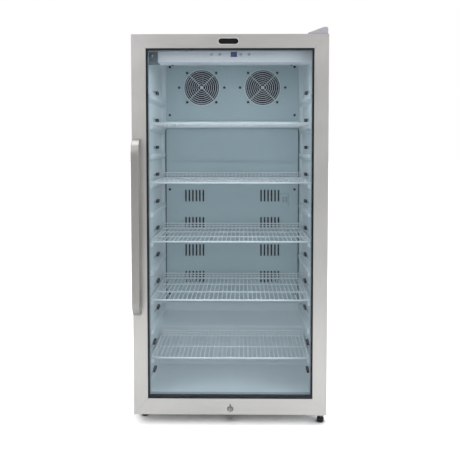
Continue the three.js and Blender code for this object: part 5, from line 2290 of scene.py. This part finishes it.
@dataclass
class Studio:
    """The camera, a plain pale floor and soft lamps.

    Attributes:
        eye: The camera's place.
        down: How far the camera looks down, in degrees.
        turn: How far it looks to the side, in degrees.
        lens: Focal length for a sensor of 36 mm.
        shift: The frame's shift across and up.
        fill: Strength of the surroundings.
        lean: How much brighter they are on the right than on the left.
        lift: Brightness of the floor where it is seen directly.
        painted_contact_shadow: How strongly a painted contact shadow darkens the floor's colour under things
            close above it.
        dusk: Paleness of the floor behind the camera.
        sky: Brightness of the surroundings at heights between the horizon and overhead.
    """

    eye: Point = (0.0416, -2.3825, 0.937)
    down: float = 3.0
    turn: float = 0.62
    lens: float = 50.45
    shift: Pair = (-0.0122, -0.1053)
    fill: float = 0.95
    lean: float = 0.5
    lift: float = 1.4
    # Strength of the painted contact shadow on the floor.
    painted_contact_shadow: float = 1.6
    dusk: float = 0.62
    sky: tuple[Pair, ...] = ((0.12, 0.60), (0.30, 0.66), (0.60, 0.92))

    def build(self) -> None:
        """Build the camera, the floor, the surroundings and the lamps."""
        self.camera()
        self.floor()
        self.surroundings()
        self.lamps()

    def camera(self) -> None:
        """Place the camera."""
        data = bpy.data.cameras.new("camera")
        data.sensor_width = 36.0
        data.lens = self.lens
        data.shift_x, data.shift_y = self.shift
        data.clip_start, data.clip_end = 0.05, 200.0
        made = bpy.data.objects.new("camera", data)
        made.location = self.eye
        made.rotation_euler = (math.radians(90.0 - self.down), 0.0, math.radians(self.turn))
        bpy.context.scene.collection.objects.link(made)
        bpy.context.scene.camera = made
        bpy.context.scene.view_settings.view_transform = "Standard"

    def floor(self) -> None:
        """Lay the pale floor, its colour darkened by a painted contact shadow under things close above it.
        """
        disc = Mould()
        disc.prism(ring_of(40.0, 64), Axis.Z, -0.02, -0.0002)
        floor = disc.piece("floor", FLOOR_PAINT)
        graph = Graph(floor.data.materials[0].node_tree)
        place = graph.add("ShaderNodeTexCoord").outputs["Object"]
        grain = graph.add("ShaderNodeTexNoise", {"Vector": place, "Scale": 40.0, "Detail": 3.0})
        bright = graph.add("ShaderNodeMapRange", {"Value": grain, 3: self.lift - 0.01, 4: self.lift + 0.01})
        # Ambient occlusion paints a contact shadow into the floor's colour under things close above it.
        painted_contact_shadow = graph.add("ShaderNodeAmbientOcclusion", {"Color": (1.0, 1.0, 1.0, 1.0), "Distance": 0.035})
        painted_contact_shadow.samples = 8
        shade = graph.math(
            "MULTIPLY", bright.outputs[0], graph.math("POWER", painted_contact_shadow.outputs["AO"], self.painted_contact_shadow)
        )
        seen = graph.add("ShaderNodeBsdfDiffuse", {"Color": shade})
        away = graph.math(
            "MULTIPLY", graph.add("ShaderNodeSeparateXYZ", {"Vector": place}).outputs["Y"], -1.0
        )
        level = graph.add("ShaderNodeMapRange", {"Value": away, 1: 1.3, 2: 3.2, 3: 0.82, 4: self.dusk})
        graph.tree.links.new(level.outputs[0], graph.tree.nodes["Principled BSDF"].inputs["Base Color"])
        ray = graph.add("ShaderNodeLightPath").outputs["Is Camera Ray"]
        out = graph.tree.nodes["Material Output"]
        base = graph.tree.nodes["Principled BSDF"]
        mix = graph.add("ShaderNodeMixShader", {0: ray, 1: base.outputs[0], 2: seen.outputs[0]})
        graph.tree.links.new(mix.outputs[0], out.inputs["Surface"])

    def surroundings(self) -> None:
        """Set a white background and a soft studio gradient for reflections and fill."""
        world = bpy.data.worlds.new("studio")
        bpy.context.scene.world = world
        world.use_nodes = True
        graph = Graph(world.node_tree)
        out = world.node_tree.nodes["World Output"]
        way = graph.add("ShaderNodeTexCoord").outputs["Generated"]
        parts = graph.add("ShaderNodeSeparateXYZ", {"Vector": way})
        ramp = graph.add("ShaderNodeValToRGB", {"Fac": parts.outputs["Z"]})
        stops = ramp.color_ramp.elements
        stops[0].position, stops[0].color = 0.0, (0.40, 0.40, 0.41, 1.0)
        stops[1].position, stops[1].color = 1.0, (1.0, 1.0, 1.0, 1.0)
        for place, level in self.sky:
            stops.new(place).color = (level, level, level, 1.0)
        side = graph.math("MULTIPLY_ADD", parts.outputs["X"], self.lean)
        side.inputs[2].default_value = 1.0
        strength = graph.math("MULTIPLY", side, self.fill)
        soft = graph.add("ShaderNodeBackground", {"Color": ramp.outputs["Color"], "Strength": strength})
        white = graph.add("ShaderNodeBackground", {"Color": (1.0, 1.0, 1.0, 1.0), "Strength": 1.0})
        ray = graph.add("ShaderNodeLightPath").outputs["Is Camera Ray"]
        mix = graph.add("ShaderNodeMixShader", {0: ray, 1: soft.outputs[0], 2: white.outputs[0]})
        graph.tree.links.new(mix.outputs[0], out.inputs["Surface"])

    def lamp(
        self, name: str, place: Point, aim: Point, size: Pair, power: float, color: Point = (1, 1, 1)
    ) -> None:
        """Place a soft rectangular lamp.

        Args:
            name: The lamp's name.
            place: Where it hangs.
            aim: The point it faces.
            size: Its width and height.
            power: Its power in watts.
            color: Its colour.
        """
        data = bpy.data.lights.new(name, "AREA")
        data.shape = "RECTANGLE"
        data.size, data.size_y = size
        data.energy = power
        data.color = color
        made = bpy.data.objects.new(name, data)
        made.location = place
        made.rotation_euler = (Vector(aim) - Vector(place)).to_track_quat("-Z", "Y").to_euler()
        bpy.context.scene.collection.objects.link(made)

    def lamps(self) -> None:
        """Hang the lamps: two soft boxes in front, one overhead and the room's own lamp."""
        middle = (0.0, 0.0, 0.7)
        self.lamp("key_left", (-1.9, -2.3, 2.0), middle, (1.4, 2.0), 26.0)
        self.lamp("key_right", (2.1, -2.1, 1.7), middle, (1.2, 2.0), 24.0)
        self.lamp("overhead", (0.0, -0.3, 3.2), (0.0, 0.0, 1.0), (2.4, 2.0), 26.0)
        low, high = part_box("led_light")
        place = (0.0, high.y + 0.012, low.z - 0.004)
        self.lamp(
            "room_lamp", place, (0.0, back_from_door(0.16), 0.30), (0.38, 0.012), 0.50, (1.0, 1.0, 1.0)
        )


def main() -> None:
    """Build every sub-assembly in order."""
    logging.basicConfig(level=logging.INFO, format="%(levelname)s %(name)s: %(message)s")
    Studio().build()
    assemblies: list = [
        CabinetShell(),
        Liner(),
        AirDuct(),
        ControlPanel(),
        MachineRoom(),
        Hinges(),
        DoorFrame(),
        DoorGlass(),
        Gasket(),
        BowHandle(),
        DoorFittings(),
    ]
    assemblies += [
        LevellingFoot(place) for place in ("front_right", "front_left", "rear_right", "rear_left")
    ]
    assemblies += [WireShelf(number) for number in range(1, 5)]
    assemblies.append(WireShelf(5, corner=0.018))
    for assembly in assemblies:
        LOG.info("building %s", type(assembly).__name__)
        assembly.build()


if __name__ == "__main__":
    main()
